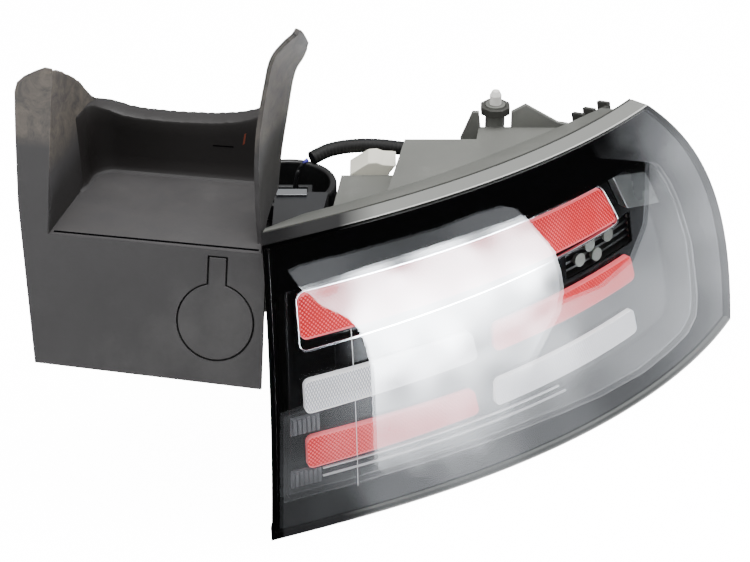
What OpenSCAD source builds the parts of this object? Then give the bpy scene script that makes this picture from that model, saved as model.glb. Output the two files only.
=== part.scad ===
/* [Lens] */
// Length of the lens's lower edge, measured round the corner of the car
lens_len = 385; // [360:1:400]
// Height of the lens
lens_h = 186; // [180:1:190]
// Wall of the clear lens
lens_wall = 3; // [2:0.1:3.5]
// Depth of the skirt that joins the lens to the housing
skirt = 12; // [9:0.5:14]
// Heading of the lower edge at its inboard end, from straight across the car
head_in = 22; // [18:0.5:26]
// Heading of the lower edge at its outboard end
head_out = 62; // [56:0.5:66]
// How late the lens turns, 1 for an even curve
head_pow = 1.5; // [1.2:0.05:1.8]
// How far the top of the lens sits in, at its inboard end
lean_in = 16.5; // [12:0.5:20]
// How far the top of the lens would sit in, at its outboard end
lean_out = 37.7; // [32:0.1:40]
// Crown of the lens between its lower and upper edges
crown = 5; // [2:0.5:7]
// How much shorter the upper edge is at its outboard end
end_cut = 88; // [76:1:94]
// How sharply the outboard end turns into the upper edge
end_pow = 2.8; // [2.4:0.1:3.4]
// How far the inboard edge shifts outboard at its top
edge_shift = 6; // [2:0.5:10]
// How far the inboard side shifts outboard for each millimetre of depth
side_draw = 0.4; // [0.34:0.02:0.44]

/* [Black border] */
// Height of the border under the window
border_low = 22; // [18:0.5:25]
// Height of the border over the window
border_top = 31; // [28:0.5:34]
// Width of the border at the inboard edge
border_in = 11; // [9:0.5:13]
// Width of the border at the outboard edge
border_out = 45; // [41:0.5:48]
// Thickness of the border
border_t = 1.5; // [1:0.1:1.8]
// Corner radius of the window, inboard
window_r = 6; // [4:0.5:9]
// Corner radius of the window, outboard
window_r_out = 13; // [9:0.5:16]

/* [Light rows] */
// Depth of the bezel's face behind the lens
bezel_d = 16; // [15:0.5:17]
// Wall of the bezel
bezel_t = 2; // [1.5:0.1:2.4]
// Thickness of each row's diffuser
row_t = 3; // [2:0.1:3.4]
// Inboard end of the rows
row_a0 = 28; // [26:0.5:30]
// Height of the upper red row
upper_row_h = 28; // [25:0.5:29]
// Height of its lower edge over the lens's lower edge
upper_row_z = 118; // [116:0.5:120]
// Outboard end of the upper red row, at mid-height
upper_row_a1 = 259; // [254:0.5:261]
// Height of the middle and lower rows at their inboard ends
row_h = 21.5; // [20:0.5:22]
// Height of the middle and lower rows at their outboard ends
row_h_out = 18; // [17:0.5:19]
// Height of the middle rows' lower edge
middle_row_z = 71; // [69:0.5:73]
// Height of the lower rows' lower edge
lower_row_z = 34; // [32:0.5:36]
// Outboard end of the inner rows
inner_row_a1 = 141; // [136:0.5:143]
// Inboard end of the outer rows
outer_row_a0 = 155; // [153:0.5:160]
// Outboard end of the outer rows
outer_row_a1 = 278; // [270:0.5:280]
// Rise of the middle and lower rows along the lens, for each millimetre
row_rise = 0.022; // [0:0.002:0.03]
// Rise of the upper row along the lens, for each millimetre
upper_rise = 0.012; // [0:0.002:0.014]
// Corner radius of the diffusers
row_r = 4; // [2:0.5:6]
// Spacing of the light sources along a row
led_pitch = 22; // [18:1:30]

/* [Housing] */
// Wall of the housing
housing_wall = 2.5; // [2:0.1:3]
// Depth of the housing's back wall behind the lens
housing_d = 50; // [48:1:54]
// Top of the wide block with the peg
block_z = 168; // [164:0.5:169]
// Top of the lower inboard step
step_z = 150; // [146:0.5:152]
// Bore of the main fixing hole
fixing_d = 6.6; // [5.5:0.1:8]
// Thickness of the fixing tab
tab_t = 4; // [3:0.5:6]
// Diameter of the outboard locating pin
pin_d = 10; // [8:0.5:12]
// Length of the outboard locating pin
pin_len = 26; // [18:1:32]
// Radius of the peg's boss
boss_r = 6; // [5:0.5:7]
// Radius of the white locating peg
peg_r = 3.6; // [3:0.1:4.2]

/* [Closing trim] */
// Width of the trim's front panel
trim_w = 127; // [120:1:132]
// Height of the tray floor over the panel's lower edge
tray_z = 69; // [66:1:72]
// How far the front panel leans back
trim_lean = 20; // [16:0.5:24]
// Wall of the trim
trim_t = 2.5; // [2:0.1:3]
// Depth from the panel's lower edge to the tray's back wall
tray_back = 104; // [98:1:108]
// Height of the back wall's rim over the panel's lower edge
rim_z = 103; // [98:1:108]
// Depth of the rim along the back wall
rim_d = 14; // [9:1:16]
// Height of the left strip's top over the panel's lower edge
strip_z = 143; // [135:1:148]

/* [Access flap] */
// Diameter of the flap's round part
flap_d = 42; // [38:0.5:44]
// Width of the flap's neck
flap_neck = 9.4; // [7:0.2:12]
// Gap round the flap
flap_gap = 0.5; // [0.4:0.1:0.8]
// Thickness of the flap
flap_t = 2; // [1.5:0.1:2.2]

/* [Wiring] */
// Outer radius of the rubber grommet
grommet_r = 30; // [27:0.5:32]
// Height of the rubber grommet
grommet_h = 22; // [18:1:24]
// Diameter of the conduit
conduit_d = 9; // [7:0.5:10]
// Diameter of each wire
wire_d = 2.2; // [1.6:0.1:2.6]

/* [Hidden] */

// The lamp is drawn from the lens's lower inboard corner: x runs outboard, y to the front of
// the car and z up. A place on the lens is a, the way along it, h, the height, and d, the depth
// behind its outer face. The origin of the part is the main fixing hole.
fixing = [-28, 52, 135];
small_gap = 0.3;
path_step = 5;
path_n = ceil((lens_len + 60) / path_step);

function heading(a) =
    head_in + (head_out - head_in) * pow(max(a, 0) / lens_len, head_pow);
function path_dir(a) = [cos(heading(a)), sin(heading(a))];
path = [
    for (i = 0, p = [0, 0]; i <= path_n;
         p = p + path_step * path_dir((i + 0.5) * path_step), i = i + 1) p
];
function along(a) =
    a < 0 ? a * path_dir(0)
    : let (i = min(floor(a / path_step), path_n - 1), k = a / path_step - i)
      path[i] * (1 - k) + path[i + 1] * k;
function outward(a) = [sin(heading(a)), -cos(heading(a))];
// Offset of the lens's outer face from its lower edge, outwards
function face_off(a, h) =
    let (k = h / lens_h)
    crown * 4 * k * (1 - k) - k * (lean_in + (lean_out - lean_in) * a / lens_len);
function on_lens(p, d) =
    let (q = along(p.x) + (face_off(p.x, p.y) - d) * outward(p.x)) [q.x, q.y, p.y];
// A point of the plan, set in by off from the lower edge
function in_plan(a, off) = along(a) - off * outward(a);

// Inboard and outboard edges of the lens at height h
function edge_in(h) = edge_shift * h / lens_h;
function edge_out(h) = lens_len + 1 - end_cut * pow(max(h, 0) / lens_h, end_pow);
// The lamp's outline at the depth d, set in by i, for u and v from 0 to 1
function outline(u, v, i = 0, d = 0) =
    let (
        h = i + v * (lens_h - 2 * i),
        a0 = edge_in(h) + side_draw * d + i,
        a1 = edge_out(h) - i
    )
    [a0 + u * (a1 - a0), h];

// Corner of a rectangle lo to hi rounded by r, for a point p on its edge
function clamp(x, lo, hi) = min(max(x, lo), hi);
function rounded(p, lo, hi, r) =
    let (c = [clamp(p.x, lo.x + r, hi.x - r), clamp(p.y, lo.y + r, hi.y - r)], q = p - c)
    (abs(q.x) < 0.001 || abs(q.y) < 0.001) ? p : c + r * q / norm(q);
// The k-th of 4n points round a unit square
function round_square(k, n) =
    let (s = floor(k / n) % 4, f = (k % n) / n)
    s == 0 ? [f, 0] : s == 1 ? [1, f] : s == 2 ? [1 - f, 1] : [0, 1 - f];

// The window in the border, grown by g all round
window_h0 = border_low;
window_h1 = lens_h - border_top;
function window_a1(h) = edge_out(h) - border_out + 6 * pow(h / lens_h, 3);
function window(p, g = 0) =
    let (
        w = window_a1(60) - border_in,
        lo = [-g, window_h0 - g],
        hi = [w + g, window_h1 + g],
        q = [lo.x + p.x * (hi.x - lo.x), lo.y + p.y * (hi.y - lo.y)],
        r = (p.x > 0.5 ? window_r_out : window_r) + g,
        s = rounded(q, lo, hi, r)
    )
    [border_in + s.x * (window_a1(s.y) - border_in) / w, s.y];

// Solids made of points

// Faces of a grid of points, columns by rows, each split into two triangles
function grid_faces(nc, nr, first, flip, closed = false) = [
    for (i = [0:nc - (closed ? 1 : 2)], j = [0:nr - 2])
        let (
            i2 = (i + 1) % nc,
            p = first + i * nr + j,
            q = first + i2 * nr + j
        )
        each flip ? [[p, q + 1, q], [p, p + 1, q + 1]] : [[p, q, q + 1], [p, q + 1, p + 1]]
];

// A slab between the depths d0 and d1, over a grid of places (a, h)
module slab(places, d0, d1) {
    nc = len(places);
    nr = len(places[0]);
    n = nc * nr;
    points = [
        for (d = [d0, d1], column = places, p = column) on_lens(p, d)
    ];
    ends = [
        for (j = [0:nr - 2])
            each [
                [j, n + j + 1, j + 1],
                [j, n + j, n + j + 1],
                [n - nr + j, 2 * n - nr + j + 1, 2 * n - nr + j],
                [n - nr + j, n - nr + j + 1, 2 * n - nr + j + 1]
            ]
    ];
    sides = [
        for (i = [0:nc - 2])
            let (p = i * nr, q = p + nr)
            each [
                [p, n + q, n + p],
                [p, q, n + q],
                [p + nr - 1, n + p + nr - 1, n + q + nr - 1],
                [p + nr - 1, n + q + nr - 1, q + nr - 1]
            ]
    ];
    faces = concat(grid_faces(nc, nr, 0, true), grid_faces(nc, nr, n, false), ends, sides);
    polyhedron(points, faces);
}

// A closed band between the depths d0 and d1, from the loop outer to the loop inner
module band(outer, inner, d0, d1, rings = 1) {
    nc = len(outer);
    nr = rings + 1;
    n = nc * nr;
    points = [
        for (d = [d0, d1], i = [0:nc - 1], j = [0:rings])
            on_lens(outer[i] + (inner[i] - outer[i]) * j / rings, d)
    ];
    sides = [
        for (i = [0:nc - 1])
            let (p = i * nr, q = ((i + 1) % nc) * nr)
            each [
                [p, n + q, n + p],
                [p, q, n + q],
                [p + rings, n + p + rings, n + q + rings],
                [p + rings, n + q + rings, q + rings]
            ]
    ];
    faces = concat(
        grid_faces(nc, nr, 0, true, true), grid_faces(nc, nr, n, false, true), sides
    );
    polyhedron(points, faces);
}

// A pan: a wall over the grid face, whose sides run through the loops and end at the grid
// face_in inside it. The loops are grids of which only the outer points are used.
function edge_loop(nc, nr) = concat(
    [for (i = [0:nc - 1]) i * nr],
    [for (j = [1:nr - 1]) (nc - 1) * nr + j],
    [for (i = [nc - 2:-1:0]) i * nr + nr - 1],
    [for (j = [nr - 2:-1:1]) j]
);
function edge_points(grid) =
    let (flat = [for (column = grid) each column])
    [for (k = edge_loop(len(grid), len(grid[0]))) flat[k]];
module pan(face, loops, face_in, flip = false) {
    nc = len(face);
    nr = len(face[0]);
    n = nc * nr;
    loop = edge_loop(nc, nr);
    m = len(loop);
    points = concat(
        [for (column = face) each column],
        [for (column = face_in) each column],
        [for (grid = loops) each edge_points(grid)]
    );
    // Point k of the s-th loop, with the edges of face first and of face_in last
    function at(s, k) =
        s == 0 ? loop[k] : s > len(loops) ? n + loop[k] : 2 * n + (s - 1) * m + k;
    wall = [
        for (s = [0:len(loops)], k = [0:m - 1])
            let (k2 = (k + 1) % m)
            each [[at(s, k), at(s + 1, k2), at(s + 1, k)], [at(s, k), at(s, k2), at(s + 1, k2)]]
    ];
    faces = concat(grid_faces(nc, nr, 0, true), grid_faces(nc, nr, n, false), wall);
    polyhedron(points, flip ? [for (f = faces) [f[0], f[2], f[1]]] : faces);
}

// Grid of points over the lamp's outline at the depth d, set in by i
function outline_grid(nc, nr, i, d) = [
    for (u = [0:nc]) [for (v = [0:nr]) on_lens(outline(u / nc, v / nr, i, d), d)]
];

// A row of the lamp with rounded corners, as [a0, a1, foot, rise, tall0, tall1, skew]: it runs
// from a0 to a1, its foot rises along the lens, and it is tall0 high at a0 and tall1 at a1. skew
// moves the outboard end by that much from its foot to its top.
function row_places(row, r, grow = 0, nv = 4) =
    let (
        a0 = row[0],
        a1 = row[1],
        b0 = a0 - grow,
        b1 = a1 + grow,
        rr = r + grow,
        turns = [0, 30, 60],
        mid = ceil((b1 - b0 - 2 * rr) / 14),
        xs = concat(
            [for (t = turns) [b0 + rr * (1 - cos(t)), rr * (1 - sin(t))]],
            [for (i = [0:mid]) [b0 + rr + (b1 - b0 - 2 * rr) * i / mid, 0]],
            [for (t = [60, 30, 0]) [b1 - rr * (1 - cos(t)), rr * (1 - sin(t))]]
        )
    )
    [
        for (x = xs)
            let (
                share = (x.x - b0) / (b1 - b0),
                tall = row[4] + (row[5] - row[4]) * share,
                foot = row[2] + row[3] * (x.x - row_a0),
                low = foot - grow + x.y,
                high = foot + tall + grow - x.y
            )
            [
                for (v = [0:nv])
                    let (h = low + (high - low) * v / nv)
                    [x.x + row[6] * share * (foot + tall / 2 - h) / tall, h]
            ]
    ];

module at_fixing() translate(-fixing) children();
// How far the lens leans back at (a, h)
function lens_tilt(a, h) = atan((face_off(a, h) - face_off(a, h + 10)) / 10);
// Children placed on the lens at (a, h), d behind its face, with y pointing in
module on_face(a, h, d)
    translate(on_lens([a, h], d)) rotate([0, 0, heading(a)]) rotate([-lens_tilt(a, h), 0, 0])
        children();

// Lens

lens_nc = 40;
lens_nr = 12;
seal_t = 1.2;
seal_inset = 0.4;
rim_start = skirt + seal_t + small_gap;

module outer_lens() color([0.9, 0.93, 0.96, 0.35]) {
    pan(
        outline_grid(lens_nc, lens_nr, 0, 0),
        [for (i = [0, lens_wall]) outline_grid(lens_nc, lens_nr, i, skirt)],
        outline_grid(lens_nc, lens_nr, lens_wall, lens_wall)
    );
}

ring_n = 30;
module lens_border() color([0.03, 0.03, 0.035]) {
    d0 = lens_wall + small_gap;
    outer = [
        for (k = [0:4 * ring_n - 1])
            let (p = round_square(k, ring_n)) outline(p.x, p.y, d0, d0 + border_t)
    ];
    inner = [for (k = [0:4 * ring_n - 1]) window(round_square(k, ring_n))];
    band(outer, inner, d0, d0 + border_t, 3);
}

module lens_seal() color([0.12, 0.12, 0.12]) {
    d0 = skirt + small_gap / 2;
    loops = [
        for (i = [seal_inset, lens_wall - seal_inset])
            [
                for (k = [0:4 * ring_n - 1])
                    let (p = round_square(k, ring_n)) outline(p.x, p.y, i, d0)
            ]
    ];
    band(loops[0], loops[1], d0, d0 + seal_t);
}

// Housing

// The back wall's inboard edge, and how far it is from the rim at the other edges
housing_in = 50;
back_inset = 14;
back_drop = 16;
// Over the outboard part the back wall comes up to the lens
back_rise = 22;
back_rise_a0 = 180;
back_rise_len = 190;
function back_d(a) =
    housing_d - back_rise * pow(clamp((a - back_rise_a0) / back_rise_len, 0, 1), 2);
function back_heading(a, h) =
    let (p = on_lens([a - 3, h], back_d(a - 3)), q = on_lens([a + 3, h], back_d(a + 3)))
    atan2(q.y - p.y, q.x - p.x);
// The back wall's places, set in by i
function back_place(u, v, i) =
    let (
        h = i + v * (lens_h - back_drop - 2 * i),
        a0 = housing_in + i,
        a1 = edge_out(h) - back_inset - i
    )
    [a0 + u * (a1 - a0), h];
housing_nc = 24;
housing_nr = 8;
function back_grid(i) = [
    for (u = [0:housing_nc])
        [
            for (v = [0:housing_nr])
                let (p = back_place(u / housing_nc, v / housing_nr, i)) on_lens(p, back_d(p.x) - i)
        ]
];
// The sides run straight back to here, and the top falls a little
side_d_in = 34;
side_d_out = 24;
side_drop = 10 / lens_h;
function side_grid(i) = [
    for (u = [0:housing_nc])
        [
            for (v = [0:housing_nr])
                let (
                    d = side_d_in + (side_d_out - side_d_in) * u / housing_nc,
                    p = outline(u / housing_nc, v / housing_nr, i, d)
                )
                on_lens([p.x, p.y * (1 - side_drop)], d)
        ]
];

// Plan outlines of the blocks behind the back wall, whose fronts are off in from the lens's
// lower edge, set in by i
step_front = 48.5;
block_front_low = 49;
block_front = 56.5;
step_x0 = 28;
step_x1 = 78;
step_y = 160;
step_z0 = 60;
block_x0 = 62;
block_y = 172;
block_z0 = 40;
block_mid_z = 104;
peg_block_x = 122;
peg_block_x1 = 178;
peg_block_y = 188;
function front_line(stretch, off, lo, hi) = [
    for (i = [0:6])
        let (p = in_plan(stretch[0] + (stretch[1] - stretch[0]) * i / 6, off))
        [clamp(p.x, lo, hi), p.y]
];
// Stretches of the lens that the fronts of the two blocks follow
step_stretch = [50, 96];
block_stretch = [84, 226];
// How far the inboard corner of each block's back is cut off
step_corner = 11;
block_corner = 15;
module step_plan(i = 0, off = step_front)
    polygon(concat(
        front_line(step_stretch, off, step_x0 + i, step_x1 - i),
        [[step_x1 - i, step_y - i], [step_x0 + step_corner + i, step_y - i]]
    ));
module block_plan(i, off)
    polygon(concat(
        front_line(block_stretch, off, block_x0 + i, peg_block_x1 - i),
        [
            [peg_block_x1 - i, peg_block_y - i],
            [peg_block_x + i, peg_block_y - i],
            [peg_block_x - 2 + i, block_y - i],
            [block_x0 + block_corner + i, block_y - i]
        ]
    ));
// A hollow block's outside, and its inside, which is open to the front
module block_body(z0, z1) translate([0, 0, z0]) linear_extrude(z1 - z0) children();
module block_hollow(z0, z1) block_body(z0 + housing_wall, z1 - housing_wall) children();
open_front = 9;

peg_at = [132, peg_block_y + boss_r - 1];
boss_z0 = 140;
boss_z1 = 181;
pin_place = [330, 60];
pin_boss_h = 5;
module tab_hole() translate([fixing.x, 0, fixing.z]) rotate([-90, 0, 0])
    cylinder(d = fixing_d, h = fixing.y + tab_t + web_reach, $fn = 48);

// Tab with the main fixing hole, and its two webs
tab_w = 26;
tab_reach = 39;
web_t = 2;
web_reach = 14;
web_x = 12;
module fixing_tab() difference() {
    union() {
        translate([fixing.x - tab_w / 2, fixing.y, fixing.z - tab_w / 2])
            cube([tab_w / 2 + tab_reach, tab_t, tab_w]);
        for (z = [1 - tab_w / 2, tab_w / 2 - web_t - 1])
            translate([fixing.x + web_x, fixing.y, fixing.z + z])
                cube([tab_reach - web_x, web_reach, web_t]);
    }
    tab_hole();
}

// An upright rib along the back of the block, with its outline in x and z
rib_t = 3;
module rib(outline)
    translate([0, peg_block_y + 2, 0]) rotate([90, 0, 0]) linear_extrude(rib_t) polygon(outline);

// Children placed on the back of the housing at (a, h), gap off it, with y pointing away
module on_back(a, h, gap, tilt = 0)
    translate(on_lens([a, h], back_d(a) + gap)) rotate([0, 0, back_heading(a, h)])
        rotate([-tilt, 0, 0]) children();

// Shelf that carries the side bracket
shelf_at = [6, 81];
shelf_size = [29, 18, 4];
module shelf() difference() {
    translate([shelf_at.x, shelf_at.y, seat_z]) cube(shelf_size);
    for (p = shelf_screws)
        translate([p.x, p.y, seat_z - 1]) cylinder(d = shank_d + 0.2, h = 6, $fn = 32);
}

gusset_at = [38, 84];
gusset_t = 2;
gusset_len = 26;
gusset_h = 12;
// Outlines of the ribs either side of the boss, in x and z
peg_ribs = [
    [[111, 160], [118, 178], [122, 178], [124, 160]],
    [[141.5, 160], [141.5, 178], [150, 183], [170, 171], [176, 170], [176, 160]]
];
module housing() color([0.6, 0.6, 0.59]) {
    difference() {
        union() {
            pan(
                back_grid(0),
                [
                    side_grid(0),
                    outline_grid(housing_nc, housing_nr, 0, rim_start),
                    outline_grid(housing_nc, housing_nr, lens_wall, rim_start),
                    side_grid(lens_wall)
                ],
                back_grid(housing_wall), flip = true
            );
            block_body(step_z0, step_z) step_plan();
            block_body(block_z0, block_mid_z) block_plan(0, block_front_low);
            block_body(block_mid_z, block_z) block_plan(0, block_front);
        }
        block_hollow(step_z0, step_z) step_plan(housing_wall, step_front - open_front);
        block_hollow(block_z0, block_mid_z + 2 * housing_wall)
            block_plan(housing_wall, block_front_low - open_front);
        block_hollow(block_mid_z, block_z) block_plan(housing_wall, block_front - open_front);
    }
    fixing_tab();
    shelf();
    // Boss of the white peg
    translate([peg_at.x, peg_at.y, boss_z0])
        cylinder(r = boss_r, h = boss_z1 - boss_z0, $fn = 48);
    for (outline = peg_ribs) rib(outline);
    // Gusset on the step
    translate([gusset_at.x, gusset_at.y, step_z - 0.5])
        rotate([90, 0, 90]) linear_extrude(gusset_t)
            polygon([[0, 0], [gusset_len, 0], [0, gusset_h]]);
    // Boss of the outboard pin
    on_back(pin_place.x, pin_place.y, 0) rotate([-90, 0, 0]) translate([0, 0, -2])
        cylinder(d = pin_d + 8, h = pin_boss_h + 2, $fn = 48);
}

module boss_ring() color([0.2, 0.2, 0.19]) {
    ring_h = 5;
    translate([peg_at.x, peg_at.y, boss_z1 - ring_h - 0.6]) difference() {
        rotate([0, 0, 22.5]) cylinder(r = boss_r + 3.4, h = ring_h, $fn = 8);
        translate([0, 0, -1]) cylinder(r = boss_r + small_gap, h = ring_h + 2, $fn = 48);
    }
}

peg_h = 6;
module locating_peg() color([0.9, 0.9, 0.88]) {
    translate([peg_at.x, peg_at.y, boss_z1]) {
        cylinder(r = peg_r, h = peg_h, $fn = 48);
        translate([0, 0, peg_h]) cylinder(r1 = peg_r, r2 = peg_r - 1.4, h = 3, $fn = 48);
    }
}

module outboard_pin() color([0.75, 0.75, 0.73])
    on_back(pin_place.x, pin_place.y, 0) rotate([-90, 0, 0]) translate([0, 0, pin_boss_h + 0.1]) {
        cylinder(d = pin_d + 5, h = 2, $fn = 48);
        cylinder(d = pin_d, h = pin_len, $fn = 48);
    }

edge_clip_at = [298, 142];
edge_clip_size = [26, 2, 28];
// Its three prongs: their places along it, the height they start at and their size
prong_x = [0, 10, edge_clip_size.x - 3];
prong_z = 16;
prong_size = [3, 9, 14];
module edge_clip() color([0.06, 0.06, 0.06]) {
    on_back(edge_clip_at.x, edge_clip_at.y, 0.6, lens_tilt(edge_clip_at.x, edge_clip_at.y))
        translate([-edge_clip_size.x / 2, 0, 0]) {
            cube(edge_clip_size);
            for (x = prong_x) translate([x, 0, prong_z]) cube(prong_size);
        }
}

// Inside the lens

tray_d0 = bezel_d + bezel_t + 0.9;
tray_d1 = 31;
board_t = 1.6;
tray_wall = 1.5;

rows = [
    [row_a0, upper_row_a1, upper_row_z, upper_rise, upper_row_h, upper_row_h - 2, 14],
    [row_a0, inner_row_a1, middle_row_z, row_rise, row_h, row_h_out + 1, 4],
    [outer_row_a0, outer_row_a1, middle_row_z, row_rise, row_h_out, row_h_out, 4],
    [row_a0, inner_row_a1, lower_row_z, row_rise, row_h, row_h_out, 4],
    [outer_row_a0, outer_row_a1, lower_row_z, row_rise, row_h, row_h_out, 4]
];
diffuser_d = bezel_d - row_t - small_gap;

module diffuser(k) slab(row_places(rows[k], row_r), diffuser_d, diffuser_d + row_t);

module tail_diffuser_upper() color([0.85, 0.1, 0.12]) diffuser(0);
module indicator_diffuser_inner() color([0.88, 0.87, 0.88]) diffuser(1);
module tail_diffuser_middle() color([0.85, 0.1, 0.12]) diffuser(2);
module tail_diffuser_lower() color([0.85, 0.1, 0.12]) diffuser(3);
module reverse_diffuser_outer() color([0.88, 0.87, 0.88]) diffuser(4);

// Bezel: a face with openings behind the rows, and walls out to the border
bezel_grow = 4;
bezel_front = lens_wall + border_t + 2 * small_gap;
// The bezel's inboard edge keeps clear of the lamp's side
bezel_shift = 4.6;
function bezel_in(h) = border_in - bezel_grow + bezel_shift + edge_in(h);
function bezel_edge(p, g) =
    let (q = window(p, g), share = clamp(1 - (q.x - border_in) / 200, 0, 1))
    [q.x + share * (bezel_shift + edge_in(q.y)), q.y];
// Openings are smaller than the diffusers by this much all round
land = 2;
// Height of the recess under the upper row
recess_h0 = middle_row_z + row_h_out + 5.5;
recess_h1 = upper_row_z - 3;
// Its inboard and outboard ends, and the end of the upper row's opening between them
recess_a0 = upper_row_a1 - 41;
recess_a1 = upper_row_a1 + 41;
upper_open_a1 = upper_row_a1 - 13;
cells_h = [
    [window_h0 - bezel_grow, 0],
    [lower_row_z + land, row_rise],
    [lower_row_z + row_h_out - land, row_rise],
    [middle_row_z + land, row_rise],
    [middle_row_z + row_h_out - land, row_rise],
    [recess_h0, upper_rise],
    [recess_h1, upper_rise],
    [upper_row_z + land, upper_rise],
    [upper_row_z + upper_row_h - 2 - land, upper_rise],
    [window_h1 + bezel_grow, 0]
];
cells_a = [
    border_in - bezel_grow, row_a0 + land, 60, 90, inner_row_a1 - land - 2,
    outer_row_a0 + land, 185, recess_a0, upper_open_a1, outer_row_a1 - land - 4, recess_a1, 340
];
// True where column i and row j of the cells is open
function open_cell(i, j) =
    (j == 7 && i >= 1 && i <= 7)
    || ((j == 3 || j == 1) && (i >= 1 && i <= 3 || i >= 5 && i <= 8))
    || (j == 5 && i >= 7 && i <= 9);
function cell_place(i, j) =
    let (
        last = len(cells_a) - 1,
        h = cells_h[j][0] + cells_h[j][1] * (cells_a[i] - row_a0),
        a = i == last ? window_a1(h) + bezel_grow
            : i == last - 1 ? min(cells_a[i], window_a1(h) - 8)
            : i == 0 ? bezel_in(h)
            : cells_a[i]
    )
    [a, h];

module bezel_face(d0, d1) {
    nc = len(cells_a);
    nr = len(cells_h);
    n = nc * nr;
    points = [
        for (d = [d0, d1], i = [0:nc - 1], j = [0:nr - 1]) on_lens(cell_place(i, j), d)
    ];
    function full(i, j) = i >= 0 && j >= 0 && i < nc - 1 && j < nr - 1 && !open_cell(i, j);
    faces = [
        for (i = [0:nc - 2], j = [0:nr - 2])
            if (full(i, j))
                let (p = i * nr + j, q = p + nr)
                each concat(
                    [
                        [p, q + 1, q], [p, p + 1, q + 1],
                        [n + p, n + q, n + q + 1], [n + p, n + q + 1, n + p + 1]
                    ],
                    full(i - 1, j) ? [] : [[p, n + p + 1, p + 1], [p, n + p, n + p + 1]],
                    full(i + 1, j) ? []
                        : [[q, q + 1, n + q + 1], [q, n + q + 1, n + q]],
                    full(i, j - 1) ? [] : [[p, q, n + q], [p, n + q, n + p]],
                    full(i, j + 1) ? []
                        : [[p + 1, n + q + 1, q + 1], [p + 1, n + p + 1, n + q + 1]]
                )
    ];
    polyhedron(points, faces);
}

module inner_bezel() color([0.03, 0.03, 0.035]) {
    bezel_face(bezel_d, bezel_d + bezel_t);
    outer = [for (k = [0:4 * ring_n - 1]) bezel_edge(round_square(k, ring_n), bezel_grow)];
    inner = [
        for (k = [0:4 * ring_n - 1]) bezel_edge(round_square(k, ring_n), bezel_grow - bezel_t)
    ];
    band(outer, inner, bezel_front, bezel_d + bezel_t / 2);
}

frame_gap = 1;
frame_w = 1.2;
module upper_frame() color([0.8, 0.82, 0.85]) {
    band(
        edge_points(row_places(rows[0], row_r, frame_gap + frame_w)),
        edge_points(row_places(rows[0], row_r, frame_gap)),
        diffuser_d - 0.6, bezel_d - small_gap
    );
}

// Block at the end of the upper row, with its slanted ends
prism_a0 = upper_row_a1 + 14;
prism_tall = 25;
prism_h0 = window_h1 - prism_tall - 3;
prism_len = 36;
prism_slant = 12;
prism_fall = 10;
prism_d = 9;
module end_prism() color([0.4, 0.41, 0.42]) {
    places = [
        for (u = [0:0.25:1])
            [
                for (v = [0:0.25:1])
                    [
                        prism_a0 - prism_slant * v + prism_len * u,
                        prism_h0 + prism_tall * v - prism_fall * u
                    ]
            ]
    ];
    slab(places, prism_d, bezel_d - small_gap);
}

// Dark panel behind the recess, with its ribs and its upper and lower walls
panel_h0 = recess_h0 - 2;
panel_h1 = recess_h1 + 3;
panel_a0 = recess_a0 - 4;
panel_a1 = recess_a1 - 10;
function panel_strip(a0, a1, h0, h1, n) = [
    for (i = [0:n])
        let (a = a0 + (a1 - a0) * i / n, rise = upper_rise * (a - row_a0))
        [[a, h0 + rise], [a, h1 + rise]]
];
panel_d = 24;
panel_t = 2;
panel_rib_d = 20.5;
slat_pitch = 4.6;
slat_h = 1.6;
panel_wall = 1.4;
module ribbed_panel() color([0.13, 0.13, 0.14]) {
    slab(panel_strip(panel_a0, panel_a1, panel_h0, panel_h1, 8), panel_d, panel_d + panel_t);
    for (h = [panel_h0 + 0.3, panel_h1 - panel_wall - 0.3])
        slab(
            panel_strip(panel_a0 + 0.4, panel_a1 - 0.4, h, h + panel_wall, 8),
            tray_d0, panel_d + 1
        );
    for (h = [panel_h0 + slat_pitch:slat_pitch:panel_h1 - slat_pitch])
        slab(
            panel_strip(panel_a0 + 2, panel_a1 - 2, h, h + slat_h, 8), panel_rib_d, panel_d + 0.7
        );
}

// Places of the pale optics, from the recess's lower inboard corner
collimator_at = [[14, 10.5], [24, 16.8], [30, 8.5], [42.5, 16.5]];
collimator_h = 3.6;
collimator_r = 3.4;
collimator_flare = 1;
module collimators() color([0.9, 0.9, 0.88]) {
    for (p = collimator_at)
        on_face(recess_a0 + p.x, recess_h0 + p.y, panel_rib_d - small_gap) rotate([90, 0, 0])
            cylinder(
                r1 = collimator_r, r2 = collimator_r + collimator_flare, h = collimator_h, $fn = 32
            );
}

flute_pitch = 2.85;
flutes = 7;
flute_a0 = row_a0 - 11.2;
flute_h = 10.8;
flute_feet = [middle_row_z - 12.6, lower_row_z - 11.4];
flute_d = 12.6;
flute_back_d = 14;
module fluted_block(a0, h0, h1) {
    slab(
        [for (i = [0:flutes]) [[a0 + i * flute_pitch, h0], [a0 + i * flute_pitch, h1]]],
        flute_back_d, bezel_d - small_gap
    );
    for (i = [0:flutes - 1])
        slab(
            [
                for (s = [0.4, flute_pitch - 0.4])
                    [for (h = [h0 + 0.5, h1 - 0.5]) [a0 + i * flute_pitch + s, h]]
            ],
            flute_d, flute_back_d + 0.5
        );
}
module fluted_optics() color([0.55, 0.55, 0.57]) {
    for (h = flute_feet) fluted_block(flute_a0, h, h + flute_h);
}

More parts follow.
